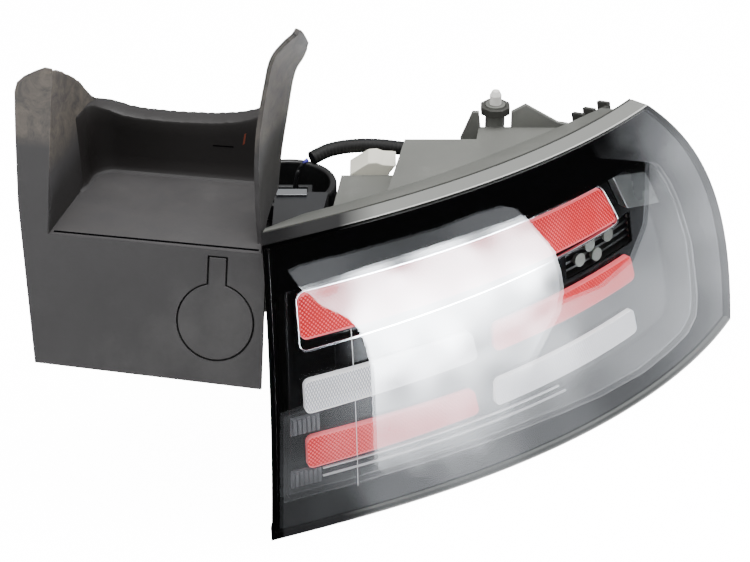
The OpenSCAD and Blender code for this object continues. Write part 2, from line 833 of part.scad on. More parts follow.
// Two thin strips under the lower row, each as its height and outboard end
accent_at = [[lower_row_z - 4, 207], [lower_row_z - 9.5, 213]];
accent_a0 = row_a0 + 10;
accent_w = 1.1;
accent_t = 1.3;
module accent_strips() color([0.8, 0.82, 0.85]) {
    for (s = accent_at)
        slab(
            [
                for (i = [0:12])
                    let (a = accent_a0 + (s[1] - accent_a0) * i / 12) [[a, s[0]], [a, s[0] + accent_w]]
            ],
            bezel_d - small_gap - accent_t, bezel_d - small_gap
        );
}

tray_a0 = row_a0 - 1;
tray_a1 = recess_a1 - 4;
tray_h0 = lower_row_z - 6;
tray_h1 = upper_row_z + upper_row_h + 5;
function tray_grid(i, d) = [
    for (u = [0:16])
        [
            for (v = [0:5])
                on_lens(
                    [
                        tray_a0 + i + (tray_a1 - tray_a0 - 2 * i) * u / 16,
                        tray_h0 + i + (tray_h1 - tray_h0 - 2 * i) * v / 5
                    ],
                    d
                )
        ]
];
module reflector_tray() color([0.85, 0.85, 0.84]) {
    pan(
        tray_grid(0, tray_d1 + tray_wall), [tray_grid(0, tray_d0), tray_grid(tray_wall, tray_d0)],
        tray_grid(tray_wall, tray_d1), flip = true
    );
}

// Walls across the tray, between the rows, each as its height and outboard end
divider_t = 1.5;
divider_a0 = tray_a0 + 2;
divider_at = [[middle_row_z - 7.5, tray_a1 - 2], [panel_h0 - 1.8, panel_a0 - 6]];
module row_dividers() color([0.1, 0.1, 0.1]) {
    for (s = divider_at)
        slab(
            [
                for (i = [0:10])
                    let (
                        a = divider_a0 + (s[1] - divider_a0) * i / 10,
                        h = s[0] + row_rise * (a - row_a0)
                    )
                    [[a, h], [a, h + divider_t]]
            ],
            tray_d0, tray_d1 - 0.1
        );
}

// Height of the middle of row k at a
function row_mid(k, a) = rows[k][2] + rows[k][3] * (a - row_a0) + rows[k][5] / 2;
board_d = tray_d1 - board_t - 0.2;
board_a0 = tray_a0 + 6;
board_w = 14;
module led_board(k, a1)
    slab(
        [
            for (i = [0:10])
                let (a = board_a0 + (a1 - board_a0) * i / 10, h = row_mid(k, a))
                [[a, h - board_w / 2], [a, h + board_w / 2]]
        ],
        board_d, board_d + board_t
    );
upper_board_a1 = upper_open_a1;
outer_board_a1 = outer_row_a1 + 6;
module upper_led_board() color([0.1, 0.35, 0.2]) led_board(0, upper_board_a1);
module middle_led_board() color([0.1, 0.35, 0.2]) led_board(1, outer_board_a1);
module lower_led_board() color([0.1, 0.35, 0.2]) led_board(3, outer_board_a1);

led_size = [3.5, 1.4, 2.8];
module leds() color([0.95, 0.9, 0.6]) {
    for (s = [[0, upper_board_a1], [1, outer_board_a1], [3, outer_board_a1]])
        for (a = [board_a0 + 8:led_pitch:s[1] - 6])
            on_face(a, row_mid(s[0], a), board_d)
                translate([-led_size.x / 2, -led_size.y - 0.1, -led_size.z / 2]) cube(led_size);
}

// Bracket, grommet and wiring

shank_d = 4;
driver_x = 130;
driver_z = 84;
driver_size = [40, 18, 52];
driver_ear_w = 6.8;
driver_ears = [driver_x - 3.3, driver_x + driver_size.x + 3.3];
driver_ear_z = 110;

grommet_at = [6, 170];
grommet_z = 140;
seat_z = grommet_z - grommet_h;
plate_t = 4;
post_at = [[-40, 88], [-18, 88]];
shelf_screws = [[14, 85], [14, 94]];
screw_hole = 4.6;
// The bracket's plate in plan
plate_plan = [[-50, 80], [27, 80], [27, 100], [32, 140], [32, 170], [-24, 170], [-50, 110]];
grommet_seat = 4;
grommet_land = 9;
// The cover on the plate: its front and back, its width at each, its height and its wall
cover_y0 = 101;
cover_y = grommet_at.y - grommet_r - 0.5;
cover_w0 = 27;
cover_w = 31.5;
cover_h = 32;
cover_wall = 3;
cover_roof = 2;
module cover_plan(i)
    polygon([
        [i, cover_y0 + i], [cover_w0 - 0.8 * i, cover_y0 + i], [cover_w - 1.2 * i, cover_y - i],
        [i, cover_y - i]
    ]);
module side_bracket() color([0.14, 0.14, 0.145]) {
    difference() {
        union() {
            translate([0, 0, seat_z - plate_t]) linear_extrude(plate_t) {
                polygon(plate_plan);
                translate(grommet_at) circle(r = grommet_r + grommet_seat, $fn = 64);
            }
            // Faceted cover beside the step
            translate([0, 0, seat_z - 1]) linear_extrude(cover_h + 1) cover_plan(0);
        }
        translate([grommet_at.x, grommet_at.y, seat_z - plate_t - 1])
            cylinder(r = grommet_r - grommet_land, h = plate_t + 2, $fn = 64);
        translate([0, 0, seat_z - plate_t - 1])
            linear_extrude(plate_t + 1 + cover_h - cover_roof) cover_plan(cover_wall);
        for (p = concat(post_at, shelf_screws))
            translate([p.x, p.y, seat_z - plate_t - 1])
                cylinder(d = screw_hole, h = plate_t + 2, $fn = 32);
    }
}

// Spring clip over the cover's back edge: its width, leg, lip and thickness
clip_w = 18;
clip_leg = 10.8;
clip_lip = 7;
clip_t = 1.2;
module metal_clip() color([0.8, 0.8, 0.82])
    translate([1, cover_y + 0.2, seat_z + cover_h + 0.2]) {
        translate([0, 0, clip_t - clip_leg]) cube([clip_w, clip_t, clip_leg]);
        translate([0, clip_t - clip_lip, 0]) cube([clip_w, clip_lip, clip_t]);
    }

grommet_hole = 14;
grommet_floor = 3;
grommet_lip = 4.5;
groove = 2.5;
module body_grommet() color([0.05, 0.05, 0.05]) {
    r = grommet_r;
    inner = r - grommet_lip;
    translate([grommet_at.x, grommet_at.y, seat_z])
        rotate_extrude($fn = 96)
            polygon([
                [grommet_hole, 0], [r, 0], [r, 5], [r - groove, 7], [r - groove, 10], [r, 12],
                [r, grommet_h - 1], [r - 1, grommet_h], [inner + 1, grommet_h],
                [inner, grommet_h - 1], [inner, grommet_floor], [grommet_hole, grommet_floor]
            ]);
}

plug_z = seat_z + grommet_floor;
plug_size = [30, 18, 12];
plug_wall = 3;
socket_d = 6;
module plug() color([0.08, 0.08, 0.08])
    translate([grommet_at.x - plug_size.x / 2, grommet_at.y - plug_size.y / 2, plug_z])
        difference() {
            cube(plug_size);
            translate([plug_wall, plug_wall, plug_size.z - socket_d])
                cube([plug_size.x - 2 * plug_wall, plug_size.y - 2 * plug_wall, socket_d + 1]);
        }

// A tube swept along points, with sides of n
function unit(v) = v / norm(v);
function sweep_dir(p, i) = unit(p[min(i + 1, len(p) - 1)] - p[max(i - 1, 0)]);
module sweep(p, r, n = 10) {
    m = len(p);
    points = [
        for (i = [0:m - 1])
            let (
                t = sweep_dir(p, i),
                s = unit(cross(t, abs(t.z) > 0.9 ? [1, 0, 0] : [0, 0, 1])),
                w = cross(s, t)
            )
            for (k = [0:n - 1]) p[i] + r * (cos(360 * k / n) * s + sin(360 * k / n) * w)
    ];
    faces = concat(
        [[for (k = [n - 1:-1:0]) k]],
        [[for (k = [0:n - 1]) (m - 1) * n + k]],
        [
            for (i = [0:m - 2], k = [0:n - 1])
                let (a = i * n + k, b = i * n + (k + 1) % n)
                each [[a, b + n, a + n], [a, b, b + n]]
        ]
    );
    polyhedron(points, faces);
}
// Smooth points through p, by Catmull-Rom curves with k steps each
function through(p, k) = [
    for (i = [0:len(p) - 2], s = [0:k - 1])
        let (
            t = s / k,
            a = p[max(i - 1, 0)],
            b = p[i],
            c = p[i + 1],
            d = p[min(i + 2, len(p) - 1)]
        )
        0.5 * (2 * b + (c - a) * t + (2 * a - 5 * b + 4 * c - d) * t * t
            + (3 * b - a - 3 * c + d) * t * t * t),
    p[len(p) - 1]
];

conduit_route = [
    [21, 172, 155], [32, 179, 157], [46, 184, 157], [62, 186, 156], [82, 186, 153],
    [102, 190, 145], [114, 196, 136], [122, 198, 129], [driver_x - 0.9, 198, 127]
];
module conduit() color([0.05, 0.05, 0.05]) sweep(through(conduit_route, 4), conduit_d / 2, 12);

// Points of the first lead outside the sleeve, and the step from there to the next lead
lead_route = [[18.6, 169.2, 155.2], [16, 168, 153.4], [13, 167, 149], [11, 166, 142]];
lead_step = [[0, 2.5, -1], [0, 2.6, -1], [0, 2.8, -1], [0.4, 3.2, 0]];
// Where each lead enters the plug
lead_ends = [[10, 165.5], [12, 169.5], [10, 173.5]];
function lead(k) = concat(
    lead_route + k * lead_step,
    [
        for (z = [plug_size.z, plug_size.z - socket_d + 0.2])
            [lead_ends[k].x, lead_ends[k].y, plug_z + z]
    ]
);
module wires() color([0.35, 0.3, 0.6]) {
    for (k = [0:2]) sweep(through(lead(k), 3), wire_d / 2, 8);
}

// Side view of the clip under the sleeve, in x and z, and its width
cable_clip_side = [
    [44, 145], [44, 150.5], [55, 158], [60, 158.5], [64, 157], [72, 156.5], [68, 151], [66, 145]
];
cable_clip_w = 18.5;
module cable_clip() color([0.92, 0.92, 0.88])
    translate([0, step_y + cable_clip_w + small_gap, 0])
        rotate([90, 0, 0]) linear_extrude(cable_clip_w) polygon(cable_clip_side);

driver_edge = 4;
driver_dip = 1.5;
fin_pitch = 6.4;
fin_t = 2;
ear_h = 14;
ear_t = 4;
module driver_module() color([0.12, 0.12, 0.12]) {
    y0 = peg_block_y + small_gap;
    edges = [2 * driver_edge, 0, 2 * driver_edge];
    difference() {
        translate([driver_x, y0, driver_z]) cube(driver_size);
        translate([driver_x + driver_edge, y0 + driver_size.y - driver_dip, driver_z + driver_edge])
            cube(driver_size - edges);
    }
    // Cooling fins
    for (i = [-2:2])
        translate([
            driver_x + driver_size.x / 2 + i * fin_pitch - fin_t / 2,
            y0 + driver_size.y - 2 * driver_dip,
            driver_z + driver_edge + fin_t
        ])
            cube([fin_t, 2 * driver_dip, driver_size.z - 2 * driver_edge - 2 * fin_t]);
    for (x = driver_ears) difference() {
        translate([x - driver_ear_w / 2, y0, driver_ear_z - ear_h / 2])
            cube([driver_ear_w, ear_t, ear_h]);
        translate([x, y0 - 1, driver_ear_z]) rotate([-90, 0, 0])
            cylinder(d = shank_d + 0.2, h = ear_t + 2, $fn = 32);
    }
}

// A screw with its cross head under z = 0 and its shank above
head_h = 2.4;
module screw(d, head, len) {
    cylinder(d = d, h = len, $fn = 32);
    translate([0, 0, -head_h]) difference() {
        cylinder(d = head, h = head_h, $fn = 32);
        for (r = [0, 90]) rotate([0, 0, r]) cube([head * 0.6, 1, 2], center = true);
    }
}

module driver_screws() color([0.7, 0.7, 0.72]) {
    for (x = driver_ears)
        translate([x, peg_block_y + small_gap + ear_t + 0.1, driver_ear_z]) rotate([90, 0, 0])
            screw(shank_d, 6, 3.8);
}

module bracket_screws() color([0.7, 0.7, 0.72]) {
    for (p = shelf_screws)
        translate([p.x, p.y, seat_z - plate_t - 0.1]) screw(shank_d, 8, 9);
}

vent_at = [50, step_y, 100];
vent_r = 11;
vent_neck = 3;
vent_h = 4;
module vent_cap() color([0.08, 0.08, 0.08])
    translate(vent_at) rotate([-90, 0, 0]) {
        cylinder(r = vent_r - 2, h = vent_neck, $fn = 48);
        translate([0, 0, vent_neck]) cylinder(r = vent_r, h = vent_h, $fn = 48);
    }

// Closing trim, in a frame of its own: x along the panel to the lens, y in, z up

trim_at = [-5, 6, 103];
trim_turn = -10;
module in_trim() translate(trim_at) rotate([0, 0, trim_turn]) children();
module in_panel() in_trim() rotate([-trim_lean, 0, 0]) children();
function up_panel(z) = z / cos(trim_lean);
function panel_y(z) = z * tan(trim_lean);

strip_flare = 16;
// Width of the strip's flat inside its left edge
strip_w = 5;
// How much the tops of the strip and of the left wall rise past their outer ends
ear_rise = 12;
// Top of the left wall, as shares of its run back and of its height over the rim
ear_curve = [
    [0, 1], [0.16, 0.98], [0.36, 0.82], [0.52, 0.62], [0.62, 0.48], [0.75, 0.27], [0.86, 0.12],
    [1, 0.02]
];
wall_turn = 4;
corner_r = 13;
// Right edge of the tray's floor, beside the blade
floor_right = -7;
floor_bend = [[-5, 41], [floor_right, 60]];
post_d = 9;
flap_x = -25.5;
flap_w = 34;
hinge_w = up_panel(tray_z) - 3.6;
blade_front = [
    [-6, 36, 66], [-9, 46, 100], [-8, 55, 130], [-5, 65, 160], [-2, 68, 169], [4, 70, 176],
    [10, 72, 182]
];
blade_rear = [
    [-10, 104, 66], [-7, 102, 95], [-2, 98, 130], [0, 97, 142], [3, 96, 151], [7, 95, 158],
    [11, 94, 165]
];

module panel_plate(outline)
    rotate([90, 0, 0]) mirror([0, 0, 1]) linear_extrude(trim_t) polygon(outline);

module keyhole(grow) {
    translate([flap_x, 0, flap_w]) rotate([-90, 0, 0])
        cylinder(d = flap_d + 2 * grow, h = 20, center = true, $fn = 72);
    translate([flap_x - flap_neck / 2 - grow, -10, flap_w])
        cube([flap_neck + 2 * grow, 20, hinge_w - flap_w + grow]);
}

// A sheet between two lines of points, t thick along x
module sheet(near, far, t) {
    m = len(near);
    points = concat(
        near, far, [for (p = near) p + [t, 0, 0]], [for (p = far) p + [t, 0, 0]]
    );
    faces = concat(
        [
            for (k = [0:m - 2])
                each [
                    [k, k + 1, m + k + 1], [k, m + k + 1, m + k],
                    [2 * m + k, 3 * m + k + 1, 2 * m + k + 1], [2 * m + k, 3 * m + k, 3 * m + k + 1],
                    [k, 2 * m + k + 1, k + 1], [k, 2 * m + k, 2 * m + k + 1],
                    [m + k, m + k + 1, 3 * m + k + 1], [m + k, 3 * m + k + 1, 3 * m + k]
                ]
        ],
        [[0, m, 3 * m], [0, 3 * m, 2 * m]],
        [[m - 1, 3 * m - 1, 4 * m - 1], [m - 1, 4 * m - 1, 2 * m - 1]]
    );
    polyhedron(points, [for (f = faces) [f[0], f[2], f[1]]]);
}

module closing_trim() color([0.27, 0.27, 0.27]) {
    left = -trim_w;
    left_mid = left - strip_flare * tray_z / strip_z;
    left_top = left - strip_flare;
    inner_x = left + strip_w;
    wall_foot = tray_z - trim_t + 0.6;
    front_y = panel_y(tray_z);
    ear_y = panel_y(strip_z);
    wall_run = tray_back + rim_d - 2 - ear_y;
    wall_fall = strip_z + ear_rise - rim_z;
    // Front panel and the strip up its left side
    difference() {
        in_panel() panel_plate([
            [0, 0], [-1, up_panel(tray_z)], [inner_x, up_panel(tray_z)],
            [inner_x, up_panel(strip_z + ear_rise)], [left_top, up_panel(strip_z)],
            [left_mid, up_panel(tray_z)], [left, 0]
        ]);
        in_panel() keyhole(flap_gap);
    }
    in_trim() {
        // Tray floor, and the rounding of its back corner
        translate([0, 0, tray_z - trim_t]) linear_extrude(trim_t)
            polygon(concat(
                [[inner_x - 4, front_y + 0.5], [-2, front_y + 0.5]],
                floor_bend,
                [[floor_right, tray_back], [inner_x + 6, tray_back]]
            ));
        translate([inner_x + 7, tray_back, tray_z - 1]) linear_extrude(rim_z - tray_z)
            difference() {
                translate([-2, -corner_r]) square([corner_r + 2, corner_r + 1]);
                translate([corner_r, -corner_r]) circle(r = corner_r, $fn = 64);
                translate([corner_r, -2 * corner_r]) square(2 * corner_r);
            }
        // Left wall
        translate([inner_x, front_y, 0]) rotate([0, 0, -wall_turn])
            rotate([90, 0, -90]) mirror([1, 0, 0])
                linear_extrude(trim_t) polygon(concat(
                    [[0, wall_foot]],
                    [
                        for (p = ear_curve)
                            [ear_y + p.x * wall_run - front_y, rim_z + p.y * wall_fall]
                    ],
                    [[tray_back + 4 - front_y, wall_foot]]
                ));
        // Back wall and its rim
        translate([inner_x + 4, tray_back - 0.5, wall_foot])
            cube([floor_right - inner_x - 4, trim_t + 0.5, rim_z - wall_foot]);
        translate([inner_x - 2, tray_back, rim_z - trim_t])
            cube([-5 - inner_x, rim_d, trim_t]);
        // Blade beside the lens
        translate([-trim_t / 2, 0, 0]) sheet(blade_front, blade_rear, trim_t);
    }
    // Posts that stand on the bracket
    for (p = post_at) difference() {
        translate([p.x, p.y, seat_z + 0.1])
            cylinder(d = post_d, h = trim_at.z + tray_z - trim_t / 2 - seat_z - 0.1, $fn = 32);
        translate([p.x, p.y, seat_z]) cylinder(d = 4.2, h = 12, $fn = 32);
    }
}

module access_flap() color([0.25, 0.25, 0.25]) {
    in_panel() intersection() {
        keyhole(0);
        translate([-80, 0, 0]) cube([80, flap_t, hinge_w]);
    }
}

module trim_screws() color([0.7, 0.7, 0.72]) {
    for (p = post_at)
        translate([p.x, p.y, seat_z - plate_t - 0.1]) screw(shank_d, 9, 12);
}

at_fixing() outer_lens();
at_fixing() lens_border();
at_fixing() lens_seal();
at_fixing() housing();
at_fixing() inner_bezel();
at_fixing() upper_frame();
at_fixing() tail_diffuser_upper();
at_fixing() indicator_diffuser_inner();
at_fixing() tail_diffuser_middle();
at_fixing() tail_diffuser_lower();
at_fixing() reverse_diffuser_outer();
at_fixing() end_prism();
at_fixing() ribbed_panel();
at_fixing() collimators();
at_fixing() fluted_optics();
at_fixing() accent_strips();
at_fixing() reflector_tray();
at_fixing() row_dividers();
at_fixing() upper_led_board();
at_fixing() middle_led_board();
at_fixing() lower_led_board();
at_fixing() leds();
at_fixing() boss_ring();
at_fixing() locating_peg();
at_fixing() edge_clip();
at_fixing() side_bracket();
at_fixing() metal_clip();
at_fixing() body_grommet();
at_fixing() plug();
at_fixing() conduit();
at_fixing() wires();
at_fixing() cable_clip();
at_fixing() driver_module();
at_fixing() driver_screws();
at_fixing() bracket_screws();
at_fixing() vent_cap();
at_fixing() outboard_pin();
at_fixing() closing_trim();
at_fixing() trim_screws();
at_fixing() access_flap();
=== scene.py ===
"""Looks of the tail light cluster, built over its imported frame."""
import math
from contextlib import contextmanager

import bmesh
import bpy
from bpy.props import FloatProperty, IntProperty, PointerProperty, StringProperty
from mathutils import Matrix, Vector


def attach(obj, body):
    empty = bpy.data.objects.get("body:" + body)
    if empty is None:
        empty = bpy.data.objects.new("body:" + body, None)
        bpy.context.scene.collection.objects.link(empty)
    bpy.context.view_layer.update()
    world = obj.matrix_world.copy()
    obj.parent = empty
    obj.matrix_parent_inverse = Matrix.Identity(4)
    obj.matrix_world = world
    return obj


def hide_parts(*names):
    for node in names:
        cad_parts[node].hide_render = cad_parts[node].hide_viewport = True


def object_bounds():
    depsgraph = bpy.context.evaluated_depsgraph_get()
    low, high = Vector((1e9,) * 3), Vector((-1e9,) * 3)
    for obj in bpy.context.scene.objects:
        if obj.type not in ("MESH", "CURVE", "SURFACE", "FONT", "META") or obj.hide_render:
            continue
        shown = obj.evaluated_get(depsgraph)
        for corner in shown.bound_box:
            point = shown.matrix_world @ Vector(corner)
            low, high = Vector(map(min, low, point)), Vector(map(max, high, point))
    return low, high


bl_info = {
    "name": "Tail light cluster",
    "version": (1, 0, 0),
    "blender": (4, 5, 0),
    "location": "3D View > Sidebar > Tail light",
    "description": "Gives the tail light cluster its surfaces, textures and studio",
    "category": "Object",
}

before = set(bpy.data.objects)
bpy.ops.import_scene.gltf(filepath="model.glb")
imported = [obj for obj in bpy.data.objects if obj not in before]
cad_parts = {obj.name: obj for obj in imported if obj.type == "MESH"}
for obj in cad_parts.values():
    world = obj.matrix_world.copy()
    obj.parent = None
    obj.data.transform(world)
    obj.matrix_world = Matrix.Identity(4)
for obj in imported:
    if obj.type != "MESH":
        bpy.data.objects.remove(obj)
CAD_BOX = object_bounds()
LAMP, FLAP = "lamp", "flap"
MM = 0.001

# The lamp's own corner, from which its lens is measured, seen from the main fixing hole, in mm
CORNER = Vector((28.0, -52.0, -135.0))


# Settings


class LensSettings(bpy.types.PropertyGroup):
    """Shape of the lens"""

    length: FloatProperty(name="Length", description="Lower edge, round the corner, mm", default=385.0)
    height: FloatProperty(name="Height", description="Height of the lens, mm", default=186.0)
    wall: FloatProperty(name="Wall", description="Wall of the lens, mm", default=3.0)
    skirt: FloatProperty(name="Skirt", description="Depth of the skirt, mm", default=12.0)
    head_in: FloatProperty(name="Inboard heading", description="Degrees", default=22.0)
    head_out: FloatProperty(name="Outboard heading", description="Degrees", default=62.0)
    head_pow: FloatProperty(name="Turn", description="1 is an even curve", default=1.5)
    lean_in: FloatProperty(name="Inboard lean", description="Set-back of the top, mm", default=16.5)
    lean_out: FloatProperty(name="Outboard lean", description="Set-back of the top, mm", default=37.7)
    crown: FloatProperty(name="Crown", description="Bulge between the edges, mm", default=5.0)
    end_cut: FloatProperty(name="End cut", description="How much shorter the top is, mm", default=88.0)
    end_pow: FloatProperty(name="End turn", description="Sharpness of the end", default=2.8)
    edge_shift: FloatProperty(name="Edge shift", description="Slant of the inboard edge, mm", default=6.0)
    side_draw: FloatProperty(name="Side draw", description="Slant of the inboard side", default=0.4)
    seam: FloatProperty(name="Mould line", description="Place of the mould line, mm", default=54.8)
    across: IntProperty(name="Columns", description="Mesh columns of the lens", default=120)
    up: IntProperty(name="Rows", description="Mesh rows of the lens", default=56)


class RowSettings(bpy.types.PropertyGroup):
    """Looks of the lit rows"""

    red: StringProperty(name="Red", description="Colour of the tail rows", default="#B4000A")
    white: StringProperty(name="White", description="Colour of the clear rows", default="#A6A6AD")
    dot_pitch: FloatProperty(name="Dot pitch", description="Spacing of the texture, mm", default=2.5)
    corner: FloatProperty(name="Corner", description="Corner radius of the rows, mm", default=4.0)


class StudioSettings(bpy.types.PropertyGroup):
    """Floor, light and reflections"""

    floor: StringProperty(name="Floor", description="Colour of the floor", default="#FAFAFA")
    floor_glow: FloatProperty(name="Floor glow", description="How overexposed the floor is", default=14.0)
    overhead: FloatProperty(name="Overhead light", description="Power", default=34.0, unit="POWER")
    card_tint: StringProperty(name="Cards", description="Colour of what the lens mirrors", default="#F2F6FC")


class TrimSettings(bpy.types.PropertyGroup):
    """Shape and colours of the side trim"""

    wall: FloatProperty(name="Wall", description="Wall of the trim, mm", default=2.5)
    lean: FloatProperty(name="Lean", description="How far the front leans back, degrees", default=20.0)
    turn: FloatProperty(name="Turn", description="How far the trim is turned, degrees", default=-10.0)
    tray: FloatProperty(name="Tray", description="Height of the tray's floor, mm", default=69.0)
    tray_back: FloatProperty(name="Tray depth", description="Back of the tray, mm", default=104.0)
    corner: FloatProperty(name="Corner", description="Round corner of the tray, mm", default=13.0)
    rim: FloatProperty(name="Rim", description="Depth of the rim, mm", default=14.0)
    flap: FloatProperty(name="Flap", description="Diameter of the flap, mm", default=42.0)
    neck: FloatProperty(name="Neck", description="Width of the flap's neck, mm", default=9.4)
    gap: FloatProperty(name="Gap", description="Gap round the flap, mm", default=1.0)
    colour: StringProperty(name="Colour", description="Colour of the trim", default="#373637")
    rubbed: StringProperty(name="Rubbed", description="Colour of its rubbed rims", default="#645D55")


GROUPS = {
    "tail_lens": LensSettings,
    "tail_rows": RowSettings,
    "tail_trim": TrimSettings,
    "tail_studio": StudioSettings,
}


def settings(key):
    """One group of the scene's settings."""
    return getattr(bpy.context.scene, key)


# Shapes of the lamp

# How far the path of the lens's lower edge runs on beyond its end, in mm
PATH_SPARE = 80


class LampShape:
    """Places on the lamp: a along the lens, h up it and d behind its face, in mm."""

    def __init__(self, s):
        self.s = s
        # One point for each mm of the lower edge
        self.path = [Vector((0, 0))]
        for i in range(int(s.length) + PATH_SPARE):
            t = math.radians(self.heading(i + 0.5))
            self.path.append(self.path[-1] + Vector((math.cos(t), math.sin(t))))

    def heading(self, a):
        """Way of the lower edge at a, in degrees."""
        s = self.s
        return s.head_in + (s.head_out - s.head_in) * (max(a, 0) / s.length) ** s.head_pow

    def along(self, a):
        if a < 0:
            t = math.radians(self.heading(0))
            return a * Vector((math.cos(t), math.sin(t)))
        i = min(int(a), len(self.path) - 2)
        return self.path[i].lerp(self.path[i + 1], a - i)

    def outward(self, a):
        t = math.radians(self.heading(a))
        return Vector((math.sin(t), -math.cos(t)))

    def face_off(self, a, h):
        """How far the face stands out, by its crown, and back, by its lean."""
        s, k = self.s, h / self.s.height
        lean = s.lean_in + (s.lean_out - s.lean_in) * a / s.length
        return s.crown * 4 * k * (1 - k) - k * lean

    def at(self, a, h, d):
        q = self.along(a) + (self.face_off(a, h) - d) * self.outward(a)
        return (Vector((q.x, q.y, h)) + CORNER) * MM

    def edge_in(self, h):
        return self.s.edge_shift * h / self.s.height

    def edge_out(self, h):
        s = self.s
        return s.length + 1 - s.end_cut * (max(h, 0) / s.height) ** s.end_pow

    def outline(self, u, v, inset=0.0, d=0.0):
        """A place in the lens's outline, by its shares u along and v up."""
        s = self.s
        h = inset + v * (s.height - 2 * inset)
        a0 = self.edge_in(h) + s.side_draw * d + inset
        a1 = self.edge_out(h) - inset
        return a0 + u * (a1 - a0), h

    def turned(self, a, h, d):
        """Matrix of a place: x along the lens, y into the lamp, z up its face."""
        x = (self.at(a + 1, h, d) - self.at(a - 1, h, d)).normalized()
        z = (self.at(a, h + 1, d) - self.at(a, h - 1, d)).normalized()
        y = z.cross(x).normalized()
        z = x.cross(y)
        m = Matrix((x, y, z)).transposed().to_4x4()
        m.translation = self.at(a, h, d)
        return m


# Window of the border, in mm on the lens: its edges, and its corners inboard and outboard
BORDER = {"low": 22.0, "top": 31.0, "inboard": 11.0, "outboard": 45.0, "r_in": 6.0, "r_out": 13.0}
# How much the window's outboard end leans out up to the top of the lens, and the height at
# which the window's length is measured
WINDOW_LEAN, WINDOW_MIDDLE = 6, 60
# Rows: start and end along the lens, foot, rise, height at each end and slant of the ends
ROWS = {
    "tail_diffuser_upper": (28, 259, 118, 0.012, 28, 26, 14),
    "indicator_diffuser_inner": (28, 141, 71, 0.022, 21.5, 19, 4),
    "tail_diffuser_middle": (155, 278, 71, 0.022, 18, 18, 4),
    "tail_diffuser_lower": (28, 141, 34, 0.022, 21.5, 18, 4),
    "reverse_diffuser_outer": (155, 278, 34, 0.022, 18, 18, 4),
}
ROW_A0 = 28
ROW_CORNER_STEPS = 6


def window_end(shape, h):
    """Outboard end of the border's window at a height."""
    return shape.edge_out(h) - BORDER["outboard"] + WINDOW_LEAN * (h / shape.s.height) ** 3


def round_square(n):
    """Places on the way round a square with sides of 1, n of them on each."""
    shares = [k / n for k in range(n)]
    way = [(f, 0) for f in shares] + [(1, f) for f in shares]
    return way + [(1 - f, 1) for f in shares] + [(0, 1 - f) for f in shares]


def rounded(x, y, lo, hi, r):
    """The place moved in onto the round corner of a rectangle, where it is near one."""
    cx = min(max(x, lo[0] + r), hi[0] - r)
    cy = min(max(y, lo[1] + r), hi[1] - r)
    qx, qy = x - cx, y - cy
    if abs(qx) < 1e-3 or abs(qy) < 1e-3:
        return x, y
    n = math.hypot(qx, qy)
    return cx + r * qx / n, cy + r * qy / n


def window(shape, u, v, grow=0.0):
    """A place on the window's edge, by its shares u along and v up, grown all round."""
    w = window_end(shape, WINDOW_MIDDLE) - BORDER["inboard"]
    lo = (-grow, BORDER["low"] - grow)
    hi = (w + grow, shape.s.height - BORDER["top"] + grow)
    r = (BORDER["r_out"] if u > 0.5 else BORDER["r_in"]) + grow
    x, y = rounded(lo[0] + u * (hi[0] - lo[0]), lo[1] + v * (hi[1] - lo[1]), lo, hi, r)
    return BORDER["inboard"] + x * (window_end(shape, y) - BORDER["inboard"]) / w, y


def row_places(row, r, grow=0.0, step=3.0, up=6):
    """Columns of places over a row with round corners, grown all round."""
    a0, a1, foot0, rise, tall0, tall1, skew = row
    b0, b1, rr = a0 - grow, a1 + grow, r + grow
    turns = [math.radians(90 * i / ROW_CORNER_STEPS) for i in range(ROW_CORNER_STEPS)]
    arc = [(rr * (1 - math.cos(t)), rr * (1 - math.sin(t))) for t in turns]
    mid = math.ceil((b1 - b0 - 2 * rr) / step)
    xs = [(b0 + x, cut) for x, cut in arc]
    xs += [(b0 + rr + (b1 - b0 - 2 * rr) * i / mid, 0) for i in range(mid + 1)]
    xs += [(b1 - x, cut) for x, cut in arc[::-1]]
    grid = []
    for x, cut in xs:
        share = (x - b0) / (b1 - b0)
        tall = tall0 + (tall1 - tall0) * share
        foot = foot0 + rise * (x - ROW_A0)
        low, high = foot - grow + cut, foot + tall + grow - cut
        levels = [low + (high - low) * v / up for v in range(up + 1)]
        grid.append([(x + skew * share * (foot + tall / 2 - h) / tall, h) for h in levels])
    return grid


# Mesh helpers


@contextmanager
def edited(mesh):
    """The mesh opened for changes, which are written back to it."""
    bm = bmesh.new()
    bm.from_mesh(mesh)
    yield bm
    bm.to_mesh(mesh)
    bm.free()


def linked(name, data):
    """A new object in the scene, with that mesh, light or camera."""
    obj = bpy.data.objects.new(name, data)
    bpy.context.scene.collection.objects.link(obj)
    return obj


def new_object(name, verts, faces, uvs=None, edges=()):
    mesh = bpy.data.meshes.new(name)
    mesh.from_pydata([tuple(v) for v in verts], list(edges), faces)
    mesh.update()
    if uvs:
        layer = mesh.uv_layers.new(name="UVMap")
        for loop in mesh.loops:
            layer.data[loop.index].uv = uvs[loop.vertex_index]
    return linked(name, mesh)


def path_object(name, points):
    """A line of edges from point to point."""
    return new_object(name, points, [], edges=[(k, k + 1) for k in range(len(points) - 1)])


def outwards(obj):
    """Merges doubles and turns every face outwards."""
    with edited(obj.data) as bm:
        bmesh.ops.remove_doubles(bm, verts=bm.verts, dist=1e-6)
        bmesh.ops.recalc_face_normals(bm, faces=bm.faces)
    return obj


def towards_viewer(obj):
    """Turns an open sheet's faces to the side from which the lamp is seen."""
    if obj.data.polygons[0].normal.y > 0:
        obj.data.flip_normals()
    return obj


def smooth(obj, angle=35):
    """Smooth shading, up to that angle between two faces."""
    obj.data.polygons.foreach_set("use_smooth", [True] * len(obj.data.polygons))
    obj.data.set_sharp_from_angle(angle=math.radians(angle))
    obj.data.update()
    return obj


